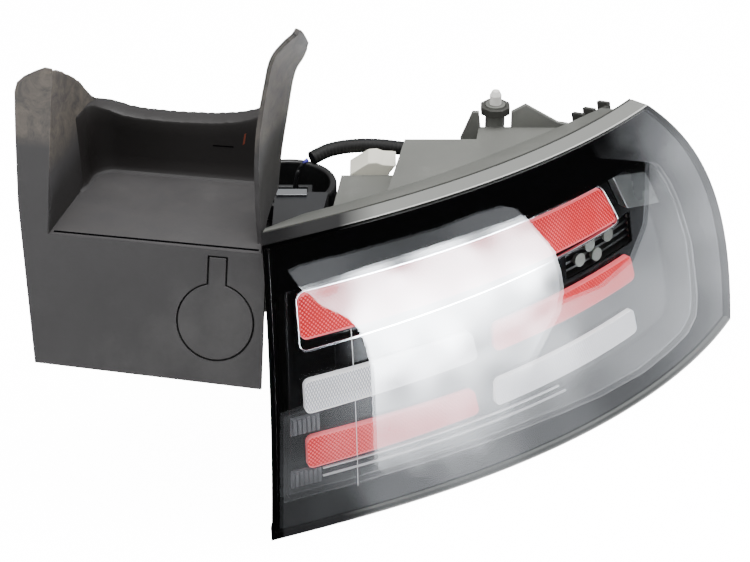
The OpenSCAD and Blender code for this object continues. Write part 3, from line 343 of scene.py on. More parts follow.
def bevel(obj, width, segments=2, angle=30):
    """Round edges of that width in mm, where faces meet at more than the angle."""
    m = obj.modifiers.new("Rounded edges", "BEVEL")
    m.width = width * MM
    m.segments = segments
    m.limit_method = "ANGLE"
    m.angle_limit = math.radians(angle)
    m.use_clamp_overlap = True
    m.harden_normals = True
    return obj


def solidify(obj, thickness, offset=-1, even=False):
    """Thickness in mm for a sheet, behind its face or on both sides of it."""
    m = obj.modifiers.new("Wall", "SOLIDIFY")
    m.thickness = thickness * MM
    m.offset = offset
    m.use_even_offset = even
    return obj


def paint(obj, material):
    obj.data.materials.clear()
    obj.data.materials.append(material)
    return obj


def settle(obj, nodes, body=LAMP):
    """The piece rides on its body and stands for those CAD nodes."""
    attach(obj, body)
    if nodes:
        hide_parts(*nodes)
    return obj


def grid_faces(nc, nr, first, flip):
    """Faces between the vertices of a grid of nc columns and nr rows."""
    faces = []
    for i in range(nc - 1):
        for j in range(nr - 1):
            p, q = first + i * nr + j, first + (i + 1) * nr + j
            faces.append((p, q, q + 1, p + 1) if flip else (p, p + 1, q + 1, q))
    return faces


def around(grid):
    """What lies on the edge of a grid of columns, all the way round."""
    loop = [column[0] for column in grid] + grid[-1][1:]
    return loop + [column[-1] for column in grid[-2::-1]] + grid[0][-2:0:-1]


def slab(name, shape, places, d0, d1):
    """A slab over a grid of places, with its places in mm as UVs."""
    nc, nr = len(places), len(places[0])
    n = nc * nr
    verts, uvs = [], []
    for d in (d0, d1):
        for column in places:
            for a, h in column:
                verts.append(shape.at(a, h, d))
                uvs.append((a, h))
    faces = grid_faces(nc, nr, 0, True) + grid_faces(nc, nr, n, False)
    ring = around([[i * nr + j for j in range(nr)] for i in range(nc)])
    for a, b in zip(ring, ring[1:] + ring[:1]):
        faces.append((a, n + a, n + b, b))
    return outwards(new_object(name, verts, faces, uvs))


def band(name, shape, outer, inner, d0, d1, rings=1):
    """A closed band between two loops of places and two depths."""
    nc, nr = len(outer), rings + 1
    n = nc * nr
    verts, uvs = [], []
    for d in (d0, d1):
        for o, i in zip(outer, inner):
            for j in range(nr):
                k = j / rings
                a, h = o[0] + (i[0] - o[0]) * k, o[1] + (i[1] - o[1]) * k
                verts.append(shape.at(a, h, d))
                uvs.append((a, h))
    faces = []
    for i in range(nc):
        p, q = i * nr, ((i + 1) % nc) * nr
        for j in range(rings):
            faces.append((p + j, q + j, q + j + 1, p + j + 1))
            faces.append((n + p + j, n + p + j + 1, n + q + j + 1, n + q + j))
        faces.append((p, n + p, n + q, q))
        faces.append((p + rings, q + rings, n + q + rings, n + p + rings))
    return outwards(new_object(name, verts, faces, uvs))


def cad_copy(name, node):
    """A merged copy of a CAD node, with its flat faces made whole."""
    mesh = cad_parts[node].data.copy()
    mesh.name = name
    obj = linked(name, mesh)
    with edited(mesh) as bm:
        bmesh.ops.remove_doubles(bm, verts=bm.verts, dist=2e-6)
        bmesh.ops.dissolve_limit(bm, angle_limit=math.radians(0.6), verts=bm.verts, edges=bm.edges)
    return obj


def plain_mesh(obj, name):
    """The evaluated object as a plain mesh, with its modifiers gone."""
    deps = bpy.context.evaluated_depsgraph_get()
    mesh = bpy.data.meshes.new_from_object(obj.evaluated_get(deps))
    mesh.name = name
    return linked(name, mesh)


# Node helpers


def add(tree, kind, inputs=None, **values):
    """Adds a node with its settings; an input takes a value or another node's output."""
    made = tree.nodes.new(kind)
    for key, value in values.items():
        setattr(made, key, value)
    for key, value in (inputs or {}).items():
        if isinstance(value, bpy.types.NodeSocket):
            tree.links.new(value, made.inputs[key])
        else:
            made.inputs[key].default_value = value
    return made


def linear(hex_colour):
    """sRGB hex to the linear colour that shaders take."""
    c = [int(hex_colour.lstrip("#")[i : i + 2], 16) / 255 for i in (0, 2, 4)]
    return [x / 12.92 if x <= 0.04045 else ((x + 0.055) / 1.055) ** 2.4 for x in c] + [1.0]


def material(name):
    """A new material, its tree and its output node."""
    m = bpy.data.materials.new(name)
    m.use_nodes = True
    m.node_tree.nodes.clear()
    return m, m.node_tree, add(m.node_tree, "ShaderNodeOutputMaterial")


def math_node(tree, operation, a, b=None):
    inputs = {0: a} if b is None else {0: a, 1: b}
    return add(tree, "ShaderNodeMath", inputs, operation=operation).outputs[0]


def part_of(tree, vector, k):
    """One part of a vector: 0 is x, 1 is y and 2 is z."""
    return add(tree, "ShaderNodeSeparateXYZ", {0: vector}).outputs[k]


def own_place(tree):
    """The piece's own coordinates, in metres."""
    return add(tree, "ShaderNodeTexCoord").outputs["Object"]


def attribute(tree, name):
    return add(tree, "ShaderNodeAttribute", attribute_name=name).outputs["Fac"]


def noise(tree, place, scale, detail, roughness=0.5, distortion=0.0):
    return add(tree, "ShaderNodeTexNoise", {
        "Vector": place, "Scale": scale, "Detail": detail, "Roughness": roughness, "Distortion": distortion,
    }).outputs[0]


def ramp(tree, fac, stops):
    """Colours or greys at their positions, and what lies between them."""
    made = add(tree, "ShaderNodeValToRGB", {0: fac})
    e = made.color_ramp.elements
    while len(e) < len(stops):
        e.new(0.5)
    for slot, (pos, colour) in zip(e, stops):
        slot.position = pos
        slot.color = colour if isinstance(colour, (list, tuple)) else (colour, colour, colour, 1)
    return made.outputs[0]


def span(tree, value, low, high, start=0.0, end=1.0):
    """The value between low and high, as a number from start to end."""
    inputs = {"Value": value, "From Min": low, "From Max": high, "To Min": start, "To Max": end}
    return add(tree, "ShaderNodeMapRange", inputs).outputs[0]


def mix(tree, share, a, b):
    """Colour a, turned to colour b by the share."""
    return add(tree, "ShaderNodeMix", {"Factor": share, "A": a, "B": b}, data_type="RGBA").outputs["Result"]


def bump(tree, height, strength, depth):
    """A relief in the shading, with its depth in mm."""
    inputs = {"Height": height, "Strength": strength, "Distance": depth * MM}
    return add(tree, "ShaderNodeBump", inputs).outputs[0]


def blotched(tree, share, colour, dark, light):
    """The colour made darker and lighter in blotches, by those factors."""
    ends = [[min(1, x * k) for x in linear(colour)[:3]] + [1] for k in (dark, light)]
    return ramp(tree, share, [(0.3, ends[0]), (0.7, ends[1])])


def surface(tree, out, inputs):
    """The material's own shader, linked to its output."""
    made = add(tree, "ShaderNodeBsdfPrincipled", inputs)
    tree.links.new(made.outputs[0], out.inputs[0])


# Kinds of material. Scales of noise are in periods per metre

ACRYLIC_IOR, VINYL_IOR, LENS_IOR = 1.49, 1.52, 1.58
# How much the roughness of a moulded face varies up and down
UNEVEN_SHINE = 0.06


def moulded(name, colour, rough, grain, depth, mottle=0.08, spec=0.5, dust=None):
    """Moulded plastic: a fine grain in the tool, and an uneven shine and colour."""
    m, t, out = material(name)
    pos = own_place(t)
    broad = noise(t, pos, 28.0, 5.0, 0.6)
    base = blotched(t, broad, colour, 1 - mottle, 1 + mottle)
    if dust:
        specks = ramp(t, noise(t, pos, 55.0, 8.0, 0.75), [(0.55, 0), (0.75, 0.5)])
        base = mix(t, specks, base, linear(dust))
    shine = ramp(t, broad, [(0.3, max(rough - UNEVEN_SHINE, 0.02)), (0.7, rough + UNEVEN_SHINE)])
    surface(t, out, {
        "Base Color": base, "Roughness": shine, "Specular IOR Level": spec, "IOR": ACRYLIC_IOR,
        "Normal": bump(t, noise(t, pos, 1 / (grain * MM), 3.0), 0.5, depth),
    })
    return m


def metal(name, colour, rough):
    """Plated or cut metal, with faint lines left by its making."""
    m, t, out = material(name)
    # The lines are 0.6 mm long, and 12 times as narrow
    along = add(t, "ShaderNodeMapping", {"Vector": own_place(t), "Scale": (1.0, 1.0, 12.0)}).outputs[0]
    lines = noise(t, along, 1 / (0.6 * MM), 4.0)
    surface(t, out, {
        "Base Color": linear(colour), "Metallic": 1.0, "Normal": bump(t, lines, 0.25, 0.02),
        "Roughness": ramp(t, lines, [(0.2, max(rough - 0.04, 0.02)), (0.8, rough + 0.06)]),
    })
    return m


def clear_polycarbonate():
    """Hard-coated polycarbonate, moulded clear: it hides nothing and mirrors the studio."""
    m, t, out = material("Clear polycarbonate")
    facing = add(t, "ShaderNodeLayerWeight", {"Blend": 0.5}).outputs["Facing"]
    # It mirrors 5 % of what is straight ahead, and nearly all at its edges
    share = span(t, math_node(t, "POWER", facing, 5.0), 0.0, 1.0, 0.05, 0.95)
    clear = add(t, "ShaderNodeBsdfTransparent", {"Color": (0.97, 0.975, 0.98, 1)})
    gloss = add(t, "ShaderNodeBsdfGlossy", {"Color": (1, 1, 1, 1), "Roughness": 0.015})
    both = add(t, "ShaderNodeMixShader", {0: share, 1: clear.outputs[0], 2: gloss.outputs[0]})
    t.links.new(both.outputs[0], out.inputs[0])
    return m


def lenticular(name, colour, light, edge, pitch, glow, lengthen=1.0):
    """Moulded diffuser: small domes, each with a painted highlight on its top, a painted highlight along its
    edge all round, and a faint painted glow.
    """
    m, t, out = material(name)
    uv = add(t, "ShaderNodeUVMap", uv_map="UVMap").outputs[0]
    k = math.pi / pitch
    u = math_node(t, "MULTIPLY", part_of(t, uv, 0), k)
    v = math_node(t, "MULTIPLY", part_of(t, uv, 1), k * 0.9 / lengthen)
    waves = [math_node(t, "SINE", math_node(t, way, u, v)) for way in ("ADD", "SUBTRACT")]
    dome = math_node(t, "ABSOLUTE", math_node(t, "MULTIPLY", *waves))
    blotch = noise(t, own_place(t), 60.0, 3.0)
    # Each dome's top turns to the lighter colour: a painted highlight
    top = math_node(t, "MULTIPLY", dome, ramp(t, blotch, [(0.3, 0.7), (0.7, 1.0)]))
    base = ramp(t, top, [(0.12, linear(colour)), (0.5, linear(light)), (0.85, linear(edge))])
    # The edge colour along the row's rim is a painted highlight, as of an edge that catches the light
    rim = ramp(t, attribute(t, "rim"), [(0.55, 0.0), (0.72, 0.85)])
    base = mix(t, rim, base, linear(edge))
    # The emission is a painted glow, which stands in for studio light shining through the diffuser from
    # behind
    surface(t, out, {
        "Base Color": base, "Roughness": 0.4, "Normal": bump(t, dome, 0.5, 0.3), "IOR": ACRYLIC_IOR,
        "Specular IOR Level": 0.12, "Emission Color": base, "Emission Strength": glow,
    })
    return m


def by_height(name, low, high, z0, z1, rough):
    """Sheath whose colour turns from one to the other between two heights, in metres."""
    m, t, out = material(name)
    share = span(t, part_of(t, own_place(t), 2), z0, z1)
    base = ramp(t, share, [(0.0, linear(low)), (1.0, linear(high))])
    surface(t, out, {"Base Color": base, "Roughness": rough, "IOR": VINYL_IOR})
    return m


def weld_flange(name, colour, behind):
    """Clear skirt over the housing's flange, with painted light: the grey of the flange seen through it is
    painted only on faces that point up, as light from above, and painted shadow keeps its inboard part
    black.
    """
    m, t, out = material(name)
    up = part_of(t, add(t, "ShaderNodeNewGeometry").outputs["Normal"], 2)
    # Painted shadow: the inboard part stays black, and the grey begins between these two places along x, in
    # metres
    unshadowed = span(t, part_of(t, own_place(t), 0), 0.05, 0.1)
    lit = ramp(t, math_node(t, "MULTIPLY", up, unshadowed), [(0.35, linear(colour)), (0.75, linear(behind))])
    surface(t, out, {"Base Color": lit, "Roughness": 0.3, "Specular IOR Level": 0.3, "IOR": LENS_IOR})
    return m


# The height of the trim from which hands rub it, and the warm tint of the painted shade on its deep faces
RUBBED_FROM, RUBBED_TO = 0.082, 0.09
SHADE_TINT = (0.2, 0.165, 0.15)


def scuffed_trim(name, colour, rubbed, rub_and_shade=None):
    """Grained polypropylene, with rims rubbed pale and brownish by handling, and painted shade, darker and
    warm, where its attribute is below 0.
    """
    m, t, out = material(name)
    pos = own_place(t)
    broad = noise(t, pos, 22.0, 6.0, 0.62)
    base = blotched(t, broad, colour, 0.9, 1.07)
    # Dust wiped over the flat faces, as faint lighter smudges
    smudge = ramp(t, noise(t, pos, 9.0, 9.0, 0.7), [(0.5, 0.0), (0.75, 0.2)])
    base = mix(t, smudge, base, linear("#6B6A68"))
    if rub_and_shade:
        mask = attribute(t, rub_and_shade)
        # Below 0 the attribute marks the deep faces, which get painted shade: a darker, warm-tinted colour
        deep = ramp(t, math_node(t, "ADD", mask, 1.0), [(0.0, 0.0), (1.0, 1.0)])
        shade = [x * tint for x, tint in zip(linear(colour), SHADE_TINT)] + [1]
        base = mix(t, deep, shade, base)
        # Hands rub the ear and the blade, which stand higher than the rim
        high = span(t, part_of(t, pos, 2), RUBBED_FROM, RUBBED_TO, 0.0, 0.7)
        mask = math_node(t, "MULTIPLY", math_node(t, "MAXIMUM", mask, high), deep)
        patchy = ramp(t, noise(t, pos, 75.0, 8.0, 0.78, 0.6), [(0.36, 0.1), (0.6, 1.0)])
        base = mix(t, math_node(t, "MULTIPLY", mask, patchy), base, linear(rubbed))
    # The real grain is about 0.3 mm: it is drawn at 0.8 mm, so that the render shows it
    grain = noise(t, pos, 1 / (0.8 * MM), 2.0)
    surface(t, out, {
        "Base Color": base, "Roughness": ramp(t, broad, [(0.3, 0.5), (0.7, 0.62)]),
        "Normal": bump(t, grain, 0.35, 0.06), "IOR": ACRYLIC_IOR,
    })
    return m


# Moulded plastics: name, colour, roughness, size and depth of the grain in mm, mottle, shine
# and dust
MOULDED = {
    # A black that swallows light, so that only the clear lens in front of it mirrors
    "border": ("Black second shot", "#020203", 0.6, 1.5, 0.0, 0.1, 0.0),
    # A deep black with faint, soft reflections
    "bezel": ("Polished black ABS", "#050506", 0.14, 3.0, 0.0, 0.1, 0.1),
    # A dull, near-black bead in the joint
    "sealant": ("Butyl bead", "#161616", 0.7, 1.0, 0.1),
    # A murky, cloudy grey block at the end of the top row
    "prism": ("Smoky acrylic", "#474A49", 0.3, 2.0, 0.0, 0.3),
    # A thin line up the lens, whose pale colour is a painted highlight
    "seam": ("Witness line in the polycarbonate", "#E4E6E8", 0.3, 1.0, 0.0),
    # Soft white lines under the lowest row: plated strips, with the studio they mirror painted in as a flat
    # white
    "bright": ("Satin plated line", "#E2E4E8", 0.35, 1.0, 0.0),
    # A short reddish-brown scar in the tray
    "scratch": ("Scraped polypropylene", "#6A2E1C", 0.6, 0.6, 0.02, 0.3),
    # Pale greenish discs that stand out of the dark recess
    "optic": ("Frosted optic", "#5F635C", 0.5, 1.0, 0.0, 0.2),
    # Charcoal with a dim sheen, so that slats and walls show only by their edges
    "dark": ("Dark ribbed ABS", "#171918", 0.35, 1.0, 0.0),
    # A clean, slightly warm white
    "white_plastic": ("White polycarbonate", "#DEDDD8", 0.4, 0.8, 0.02, 0.04),
    # Mid-grey flutes with thin bright lines down them
    "flutes": ("Grey fluted acrylic", "#606165", 0.15, 2.0, 0.01),
    # Bottle green with a low gloss
    "board": ("Green solder lacquer", "#1E5A36", 0.3, 1.2, 0.02),
    # Pale yellow windows
    "led": ("Phosphor window", "#E4D57E", 0.3, 0.8, 0.01),
    # Light warm grey, satin, with the dust of moulding in soft clouds
    "housing": ("Talc-filled polypropylene", "#62635F", 0.46, 0.5, 0.03, 0.08, 0.4, "#747570"),
    # Dark olive grey with a fine, dry grain
    "nylon": ("Dark glass-filled nylon", "#333330", 0.4, 0.5, 0.04, 0.1),
    # Bluish black with a soft shine and a little grey dust
    "bracket": ("Black polypropylene", "#1F2022", 0.32, 0.8, 0.03, 0.12, 0.5, "#33373A"),
    # Deep black with broad, soft highlights on its round edges
    "rubber": ("EPDM rubber", "#0E0E0F", 0.38, 0.6, 0.03, 0.2),
    # Matt black, whose rings show by the shadows between them
    "conduit": ("Corrugated polyamide", "#0A0A0A", 0.6, 0.4, 0.03, 0.2, 0.3),
    # A yellowish, milky white
    "milky": ("Natural nylon", "#DAD8CA", 0.4, 0.6, 0.02, 0.06),
}
# Metals: name, colour and roughness
METALS = {
    # A hard bright line that mirrors the studio
    "chrome": ("Plated ABS", "#D5D8DC", 0.08),
    # Cold grey with blurred highlights
    "steel": ("Cut spring steel", "#A2A5A8", 0.3),
    # Silver under a slight haze
    "zinc": ("Zinc plated steel", "#B3B5B8", 0.3),
}
MATERIALS = {}


def make_materials():
    rows, trim = settings("tail_rows"), settings("tail_trim")
    made = {key: moulded(*look) for key, look in MOULDED.items()}
    made.update({key: metal(*look) for key, look in METALS.items()})
    # Clear as glass, with sharp reflections that grow towards its edges
    made["lens"] = clear_polycarbonate()
    # Strong red domes with pinkish tops, which are painted highlights, and a faint painted glow, as if lit a
    # little from behind
    made["red"] = lenticular("Red acrylic diffuser", rows.red, "#F0101E", "#FF7078", rows.dot_pitch, 0.5)
    # Milky grey white with fine upright ribs, whose painted highlights and faint painted glow bring it close
    # to overexposed
    made["white"] = lenticular(
        "Milky acrylic diffuser", rows.white, "#E2E2E6", "#FAFAFB", rows.dot_pitch * 0.7, 0.6, 2.0
    )
    # Black tape, and a violet sheath where one lead comes out of it
    made["wire"] = by_height("PVC sheath", "#0E0E10", "#4438B8", 0.019, 0.021, 0.4)
    # Warm charcoal with a leathery grain, whose rims are rubbed to a pale grey brown, and with painted shade
    # on its back wall, back rim, blade and lower left wall
    made["trim"] = scuffed_trim("Grained polypropylene", trim.colour, trim.rubbed, "rub_and_shade")
    # The same charcoal, with no rubbed rim
    made["flap"] = scuffed_trim("Grained polypropylene flap", trim.colour, trim.rubbed)
    # A black rim round the lens, which turns pale where light falls on it from above
    made["skirt"] = weld_flange("Polished edge of the lens", "#070708", "#B4B5B2")
    # Black behind that rim, and mid-grey on top, where the housing shows through: this grey is painted
    # light, on faces that point up
    made["flange"] = weld_flange("Clear skirt over the grey flange", "#0C0C0D", "#757673")
    return made


# Geometry nodes


def group(name, inputs):
    """A tree with its inputs by name, kind and default, and its two ends."""
    tree = bpy.data.node_groups.new(name, "GeometryNodeTree")
    for way in ("INPUT", "OUTPUT"):
        tree.interface.new_socket("Geometry", in_out=way, socket_type="NodeSocketGeometry")
    for label, kind, default in inputs:
        socket = tree.interface.new_socket(label, in_out="INPUT", socket_type="NodeSocket" + kind)
        if default is not None:
            socket.default_value = default
    return tree, add(tree, "NodeGroupInput").outputs, add(tree, "NodeGroupOutput")


def geo(tree, kind, inputs=None, **values):
    """First output of a new geometry node."""
    return add(tree, "GeometryNode" + kind, inputs, **values).outputs[0]


def scaled(tree, vector, factor):
    return add(tree, "ShaderNodeVectorMath", {0: vector, "Scale": factor}, operation="SCALE").outputs[0]


def plus(tree, a, b):
    return add(tree, "ShaderNodeVectorMath", {0: a, 1: b}, operation="ADD").outputs[0]


def run_group(obj, tree, values, name):
    """Runs a tree on an object, with its inputs set by name, and bakes it."""
    m = obj.modifiers.new(tree.name, "NODES")
    m.node_group = tree
    ids = {s.name: s.identifier for s in tree.interface.items_tree if s.in_out == "INPUT"}
    for label, value in values.items():
        m[ids[label]] = value
    made = plain_mesh(obj, name)
    bpy.data.objects.remove(obj)
    return made


def lens_tree():
    """The lens face follows a rule: a curve swept up with a crown and a lean."""
    tree, given, end = group("Lens from its lower edge", [
        ("Length", "Float", 0.385), ("Height", "Float", 0.186), ("Crown", "Float", 0.005),
        ("Lean in", "Float", 0.0165), ("Lean out", "Float", 0.0377), ("Edge shift", "Float", 0.006),
        ("End cut", "Float", 0.088), ("End turn", "Float", 2.8), ("Skirt", "Float", 0.012),
        ("Side draw", "Float", 0.4), ("Columns", "Int", 120), ("Rows", "Int", 56),
        ("Material", "Material", None), ("Edge material", "Material", None),
        ("Skirt material", "Material", None),
    ])

    def calc(operation, a, b=None):
        return math_node(tree, operation, a, b)

    # Shares of the way along the lens and up it, from a flat grid
    grid = geo(tree, "MeshGrid", {
        "Size X": 1.0, "Size Y": 1.0, "Vertices X": given["Columns"], "Vertices Y": given["Rows"],
    })
    flat = geo(tree, "InputPosition")
    u, v = (calc("ADD", part_of(tree, flat, k), 0.5) for k in (0, 1))
    # The place along the lower edge, between the inboard and the outboard edge at that height
    a0 = calc("MULTIPLY", given["Edge shift"], v)
    cut = calc("MULTIPLY", given["End cut"], calc("POWER", v, given["End turn"]))
    a1 = calc("SUBTRACT", calc("ADD", given["Length"], 0.001), cut)
    a = calc("ADD", a0, calc("MULTIPLY", u, calc("SUBTRACT", a1, a0)))
    curve = geo(tree, "MeshToCurve", {"Mesh": given["Geometry"]})
    sample = add(tree, "GeometryNodeSampleCurve", {"Curves": curve, "Length": a}, mode="LENGTH").outputs
    minus_x = calc("MULTIPLY", part_of(tree, sample["Tangent"], 0), -1.0)
    y = part_of(tree, sample["Tangent"], 1)
    outward = add(tree, "ShaderNodeCombineXYZ", {0: y, 1: minus_x}).outputs[0]
    # The crown pushes the face out and the lean draws it in
    arch = calc("MULTIPLY", v, calc("SUBTRACT", 1.0, v))
    bulge = calc("MULTIPLY", calc("MULTIPLY", given["Crown"], 4.0), arch)
    more = calc("SUBTRACT", given["Lean out"], given["Lean in"])
    lean = calc("ADD", given["Lean in"], calc("MULTIPLY", more, calc("DIVIDE", a, given["Length"])))
    push = scaled(tree, outward, calc("SUBTRACT", bulge, calc("MULTIPLY", v, lean)))
    rise = add(tree, "ShaderNodeCombineXYZ", {2: calc("MULTIPLY", v, given["Height"])}).outputs[0]
    spot = plus(tree, plus(tree, sample["Position"], push), rise)
    # The skirt runs back from the edge, and slants on the inboard side
    inboard = calc("LESS_THAN", u, 0.001)
    slant = calc("MULTIPLY", calc("MULTIPLY", inboard, given["Side draw"]), given["Skirt"])
    back = scaled(tree, outward, calc("MULTIPLY", given["Skirt"], -1.0))
    run = plus(tree, back, scaled(tree, sample["Tangent"], slant))
    kept = geo(
        tree, "StoreNamedAttribute", {"Geometry": grid, "Name": "run", "Value": run},
        data_type="FLOAT_VECTOR", domain="POINT",
    )
    face = geo(tree, "SetPosition", {"Geometry": kept, "Position": spot})
    open_edge = add(
        tree, "FunctionNodeCompare", {"A": geo(tree, "InputMeshEdgeNeighbors"), "B": 1},
        data_type="INT", operation="EQUAL",
    ).outputs[0]
    read = geo(tree, "InputNamedAttribute", {"Name": "run"}, data_type="FLOAT_VECTOR")
    # Its first tenth is the rim that is seen from the front
    sweep = {"Mesh": face, "Selection": open_edge, "Offset": scaled(tree, read, 0.1)}
    rim = add(tree, "GeometryNodeExtrudeMesh", sweep, mode="EDGES").outputs
    sweep = {"Mesh": rim[0], "Selection": rim["Top"], "Offset": scaled(tree, read, 0.9)}
    skirt = add(tree, "GeometryNodeExtrudeMesh", sweep, mode="EDGES").outputs
    made = geo(tree, "RealizeInstances", {0: skirt[0]})
    made = geo(tree, "SetMaterial", {"Geometry": made, "Material": given["Material"]})
    for faces, label in ((rim["Side"], "Edge material"), (skirt["Side"], "Skirt material")):
        made = geo(tree, "SetMaterial", {"Geometry": made, "Selection": faces, "Material": given[label]})
    tree.links.new(made, end.inputs[0])
    return tree


def scatter_tree():
    """Sets one small piece at each point, turned as the point says."""
    tree, given, end = group("Repeated pieces", [
        ("Piece", "Object", None), ("Size", "Float", 1.0), ("Material", "Material", None),
    ])
    piece = add(tree, "GeometryNodeObjectInfo", {"Object": given["Piece"]}).outputs["Geometry"]
    turn = geo(tree, "InputNamedAttribute", {"Name": "turn"}, data_type="FLOAT_VECTOR")
    euler = add(tree, "FunctionNodeEulerToRotation", {0: turn}).outputs[0]
    made = geo(tree, "InstanceOnPoints", {
        "Points": given["Geometry"], "Instance": piece, "Rotation": euler, "Scale": given["Size"],
    })
    made = geo(tree, "RealizeInstances", {0: made})
    made = geo(tree, "SetMaterial", {"Geometry": made, "Material": given["Material"]})
    tree.links.new(made, end.inputs[0])
    return tree


def scatter(name, piece, places, mat):
    """The piece at each of the matrices in places."""
    points = new_object(name + "_points", [m.translation for m in places], [])
    turn = points.data.attributes.new("turn", "FLOAT_VECTOR", "POINT")
    for k, m in enumerate(places):
        turn.data[k].vector = m.to_euler()
    made = run_group(points, scatter_tree(), {"Piece": piece, "Material": mat}, name)
    bpy.data.objects.remove(piece)
    return made


def ribbed_tube_tree():
    """A tube along a curve, with rings that stand out of it."""
    tree, given, end = group("Ribbed tube", [
        ("Radius", "Float", 0.0045), ("Pitch", "Float", 0.0022), ("Depth", "Float", 0.0003),
        ("Sides", "Int", 20), ("Material", "Material", None),
    ])

    def calc(operation, a, b=None):
        return math_node(tree, operation, a, b)

    # Six places for each ring
    step = calc("DIVIDE", given["Pitch"], 6.0)
    fine = {"Curve": geo(tree, "MeshToCurve", {"Mesh": given["Geometry"]}), "Length": step}
    length = add(tree, "GeometryNodeSplineParameter").outputs["Length"]
    wave = calc("SINE", calc("MULTIPLY", calc("DIVIDE", length, given["Pitch"]), 2 * math.pi))
    hollow = calc("MULTIPLY", given["Depth"], calc("SUBTRACT", 1.0, wave))
    radius = calc("SUBTRACT", given["Radius"], hollow)
    made = geo(tree, "CurveToMesh", {
        "Curve": geo(tree, "ResampleCurve", fine, mode="LENGTH"), "Scale": radius, "Fill Caps": True,
        "Profile Curve": geo(tree, "CurvePrimitiveCircle", {"Resolution": given["Sides"], "Radius": 1.0}),
    })
    made = geo(tree, "RealizeInstances", {0: made})
    made = geo(tree, "SetMaterial", {"Geometry": made, "Material": given["Material"]})
    tree.links.new(made, end.inputs[0])
    return tree


# Pieces

# Depths behind the lens's face in mm: the rows, the bezel's face and rim, the bright outline's
# front and the light sources
ROW_DEPTHS = (12.7, 15.7)
BEZEL_DEPTH = 16.0
BEZEL_RIM_DEPTHS = (5.2, 16.5)
OUTLINE_DEPTHS = (12.1, 15.7)
LED_DEPTH = 28.4

# The line that the mould left: its width, its foot, its step up the lens, its places and its
# depths behind the wall
SEAM_WIDTH, SEAM_FOOT, SEAM_STEP, SEAM_PLACES = 0.35, 21, 4.9, 22
SEAM_DEPTHS = (0.02, 0.25)
# Thickness of the border and of the bead, the gap in front of each, and the bead's inset
BORDER_WALL, BEAD_WALL = 1.5, 1.2
BORDER_GAP, BEAD_GAP, BEAD_INSET = 0.3, 0.15, 0.4
# Places on each side of the loops of the border and of the bezel's rim
BORDER_PLACES, RIM_PLACES = 70, 60


class TAIL_OT_lens(bpy.types.Operator):
    """Clear lens with its skirt"""

    bl_idname = "tail.lens"
    bl_label = "Lens"

    def execute(self, context):
        s = settings("tail_lens")
        shape = LampShape(s)
        line = path_object("lens_edge", [(Vector((p.x, p.y, 0)) + CORNER) * MM for p in shape.path])
        values = {
            "End turn": s.end_pow, "Side draw": s.side_draw, "Columns": s.across, "Rows": s.up,
            "Material": MATERIALS["lens"], "Edge material": MATERIALS["skirt"],
            "Skirt material": MATERIALS["flange"],
        }
        for label in ("Length", "Height", "Crown", "Lean in", "Lean out", "Edge shift", "End cut", "Skirt"):
            values[label] = getattr(s, label.lower().replace(" ", "_")) * MM
        made = towards_viewer(outwards(run_group(line, lens_tree(), values, "clear_lens")))
        bevel(smooth(solidify(made, s.wall, even=True), 50), 1.0, 3, 50)
        settle(made, ["outer_lens"])
        # It runs up the inside of the lens, where it catches the light
        heights = [SEAM_FOOT + SEAM_STEP * k for k in range(SEAM_PLACES)]
        sides = [[(s.seam + side, h) for h in heights] for side in (0, SEAM_WIDTH)]
        seam = slab("mould_line", shape, sides, *(s.wall + depth for depth in SEAM_DEPTHS))
        settle(smooth(paint(seam, MATERIALS["seam"])), [])
        return {"FINISHED"}


class TAIL_OT_border(bpy.types.Operator):
    """Black border behind the lens, and the sealing bead"""

    bl_idname = "tail.border"
    bl_label = "Border"

    def execute(self, context):
        s = settings("tail_lens")
        shape = LampShape(s)
        way = round_square(BORDER_PLACES)
        front = s.wall + BORDER_GAP
        back = front + BORDER_WALL
        outer = [shape.outline(u, v, front, back) for u, v in way]
        made = band("black_border", shape, outer, [window(shape, u, v) for u, v in way], front, back, 8)
        settle(smooth(paint(made, MATERIALS["border"])), ["lens_border"])
        front = s.skirt + BEAD_GAP
        insets = (BEAD_INSET, s.wall - BEAD_INSET)
        loops = [[shape.outline(u, v, inset, front) for u, v in way] for inset in insets]
        bead = band("sealing_bead", shape, *loops, front, front + BEAD_WALL)
        settle(smooth(paint(bead, MATERIALS["sealant"])), ["lens_seal"])
        return {"FINISHED"}


class TAIL_OT_rows(bpy.types.Operator):
    """Red and milky rows with their moulded texture"""

    bl_idname = "tail.rows"
    bl_label = "Rows"

    def execute(self, context):
        shape = LampShape(settings("tail_lens"))
        for name, row in ROWS.items():
            red = name.startswith("tail_")
            places = row_places(row, settings("tail_rows").corner, step=2.0, up=9)
            made = slab(name + "_lens", shape, places, *ROW_DEPTHS)
            nc, nr = len(places), len(places[0])
            # The edges are marked, so that the diffuser paints its highlight along the rim
            edge = [float(i in (0, nc - 1) or j in (0, nr - 1)) for i in range(nc) for j in range(nr)]
            made.data.attributes.new("rim", "FLOAT", "POINT").data.foreach_set("value", edge * 2)
            bevel(smooth(paint(made, MATERIALS["red" if red else "white"])), 0.6, 3)
            settle(made, [name])
        return {"FINISHED"}


# The bezel's face is a grid along the lens and up it, in mm, which rises along the lens as
# the rows do, except at its lower and upper ends
BEZEL_ALONG, BEZEL_UP = range(14, 344, 4), range(18, 160, 4)
BEZEL_LOW, BEZEL_TOP, BEZEL_RISE, BEZEL_WALL = 18, 159, 0.016, 2
# Heights over which the rise fades in at the lower end and out at the upper end
BEZEL_FADE_IN, BEZEL_FADE_OUT = 20, 12
# Where it starts inboard, and how far it reaches past the window's outboard end
BEZEL_INBOARD, BEZEL_OUTBOARD = 11.9, 3.5
# Growth of the rim's two edges beyond the window, and how far it is drawn out inboard, which
# fades out over the reach
RIM_GROWTH, RIM_DRAW, RIM_REACH = (4, 2), 4.6, 200
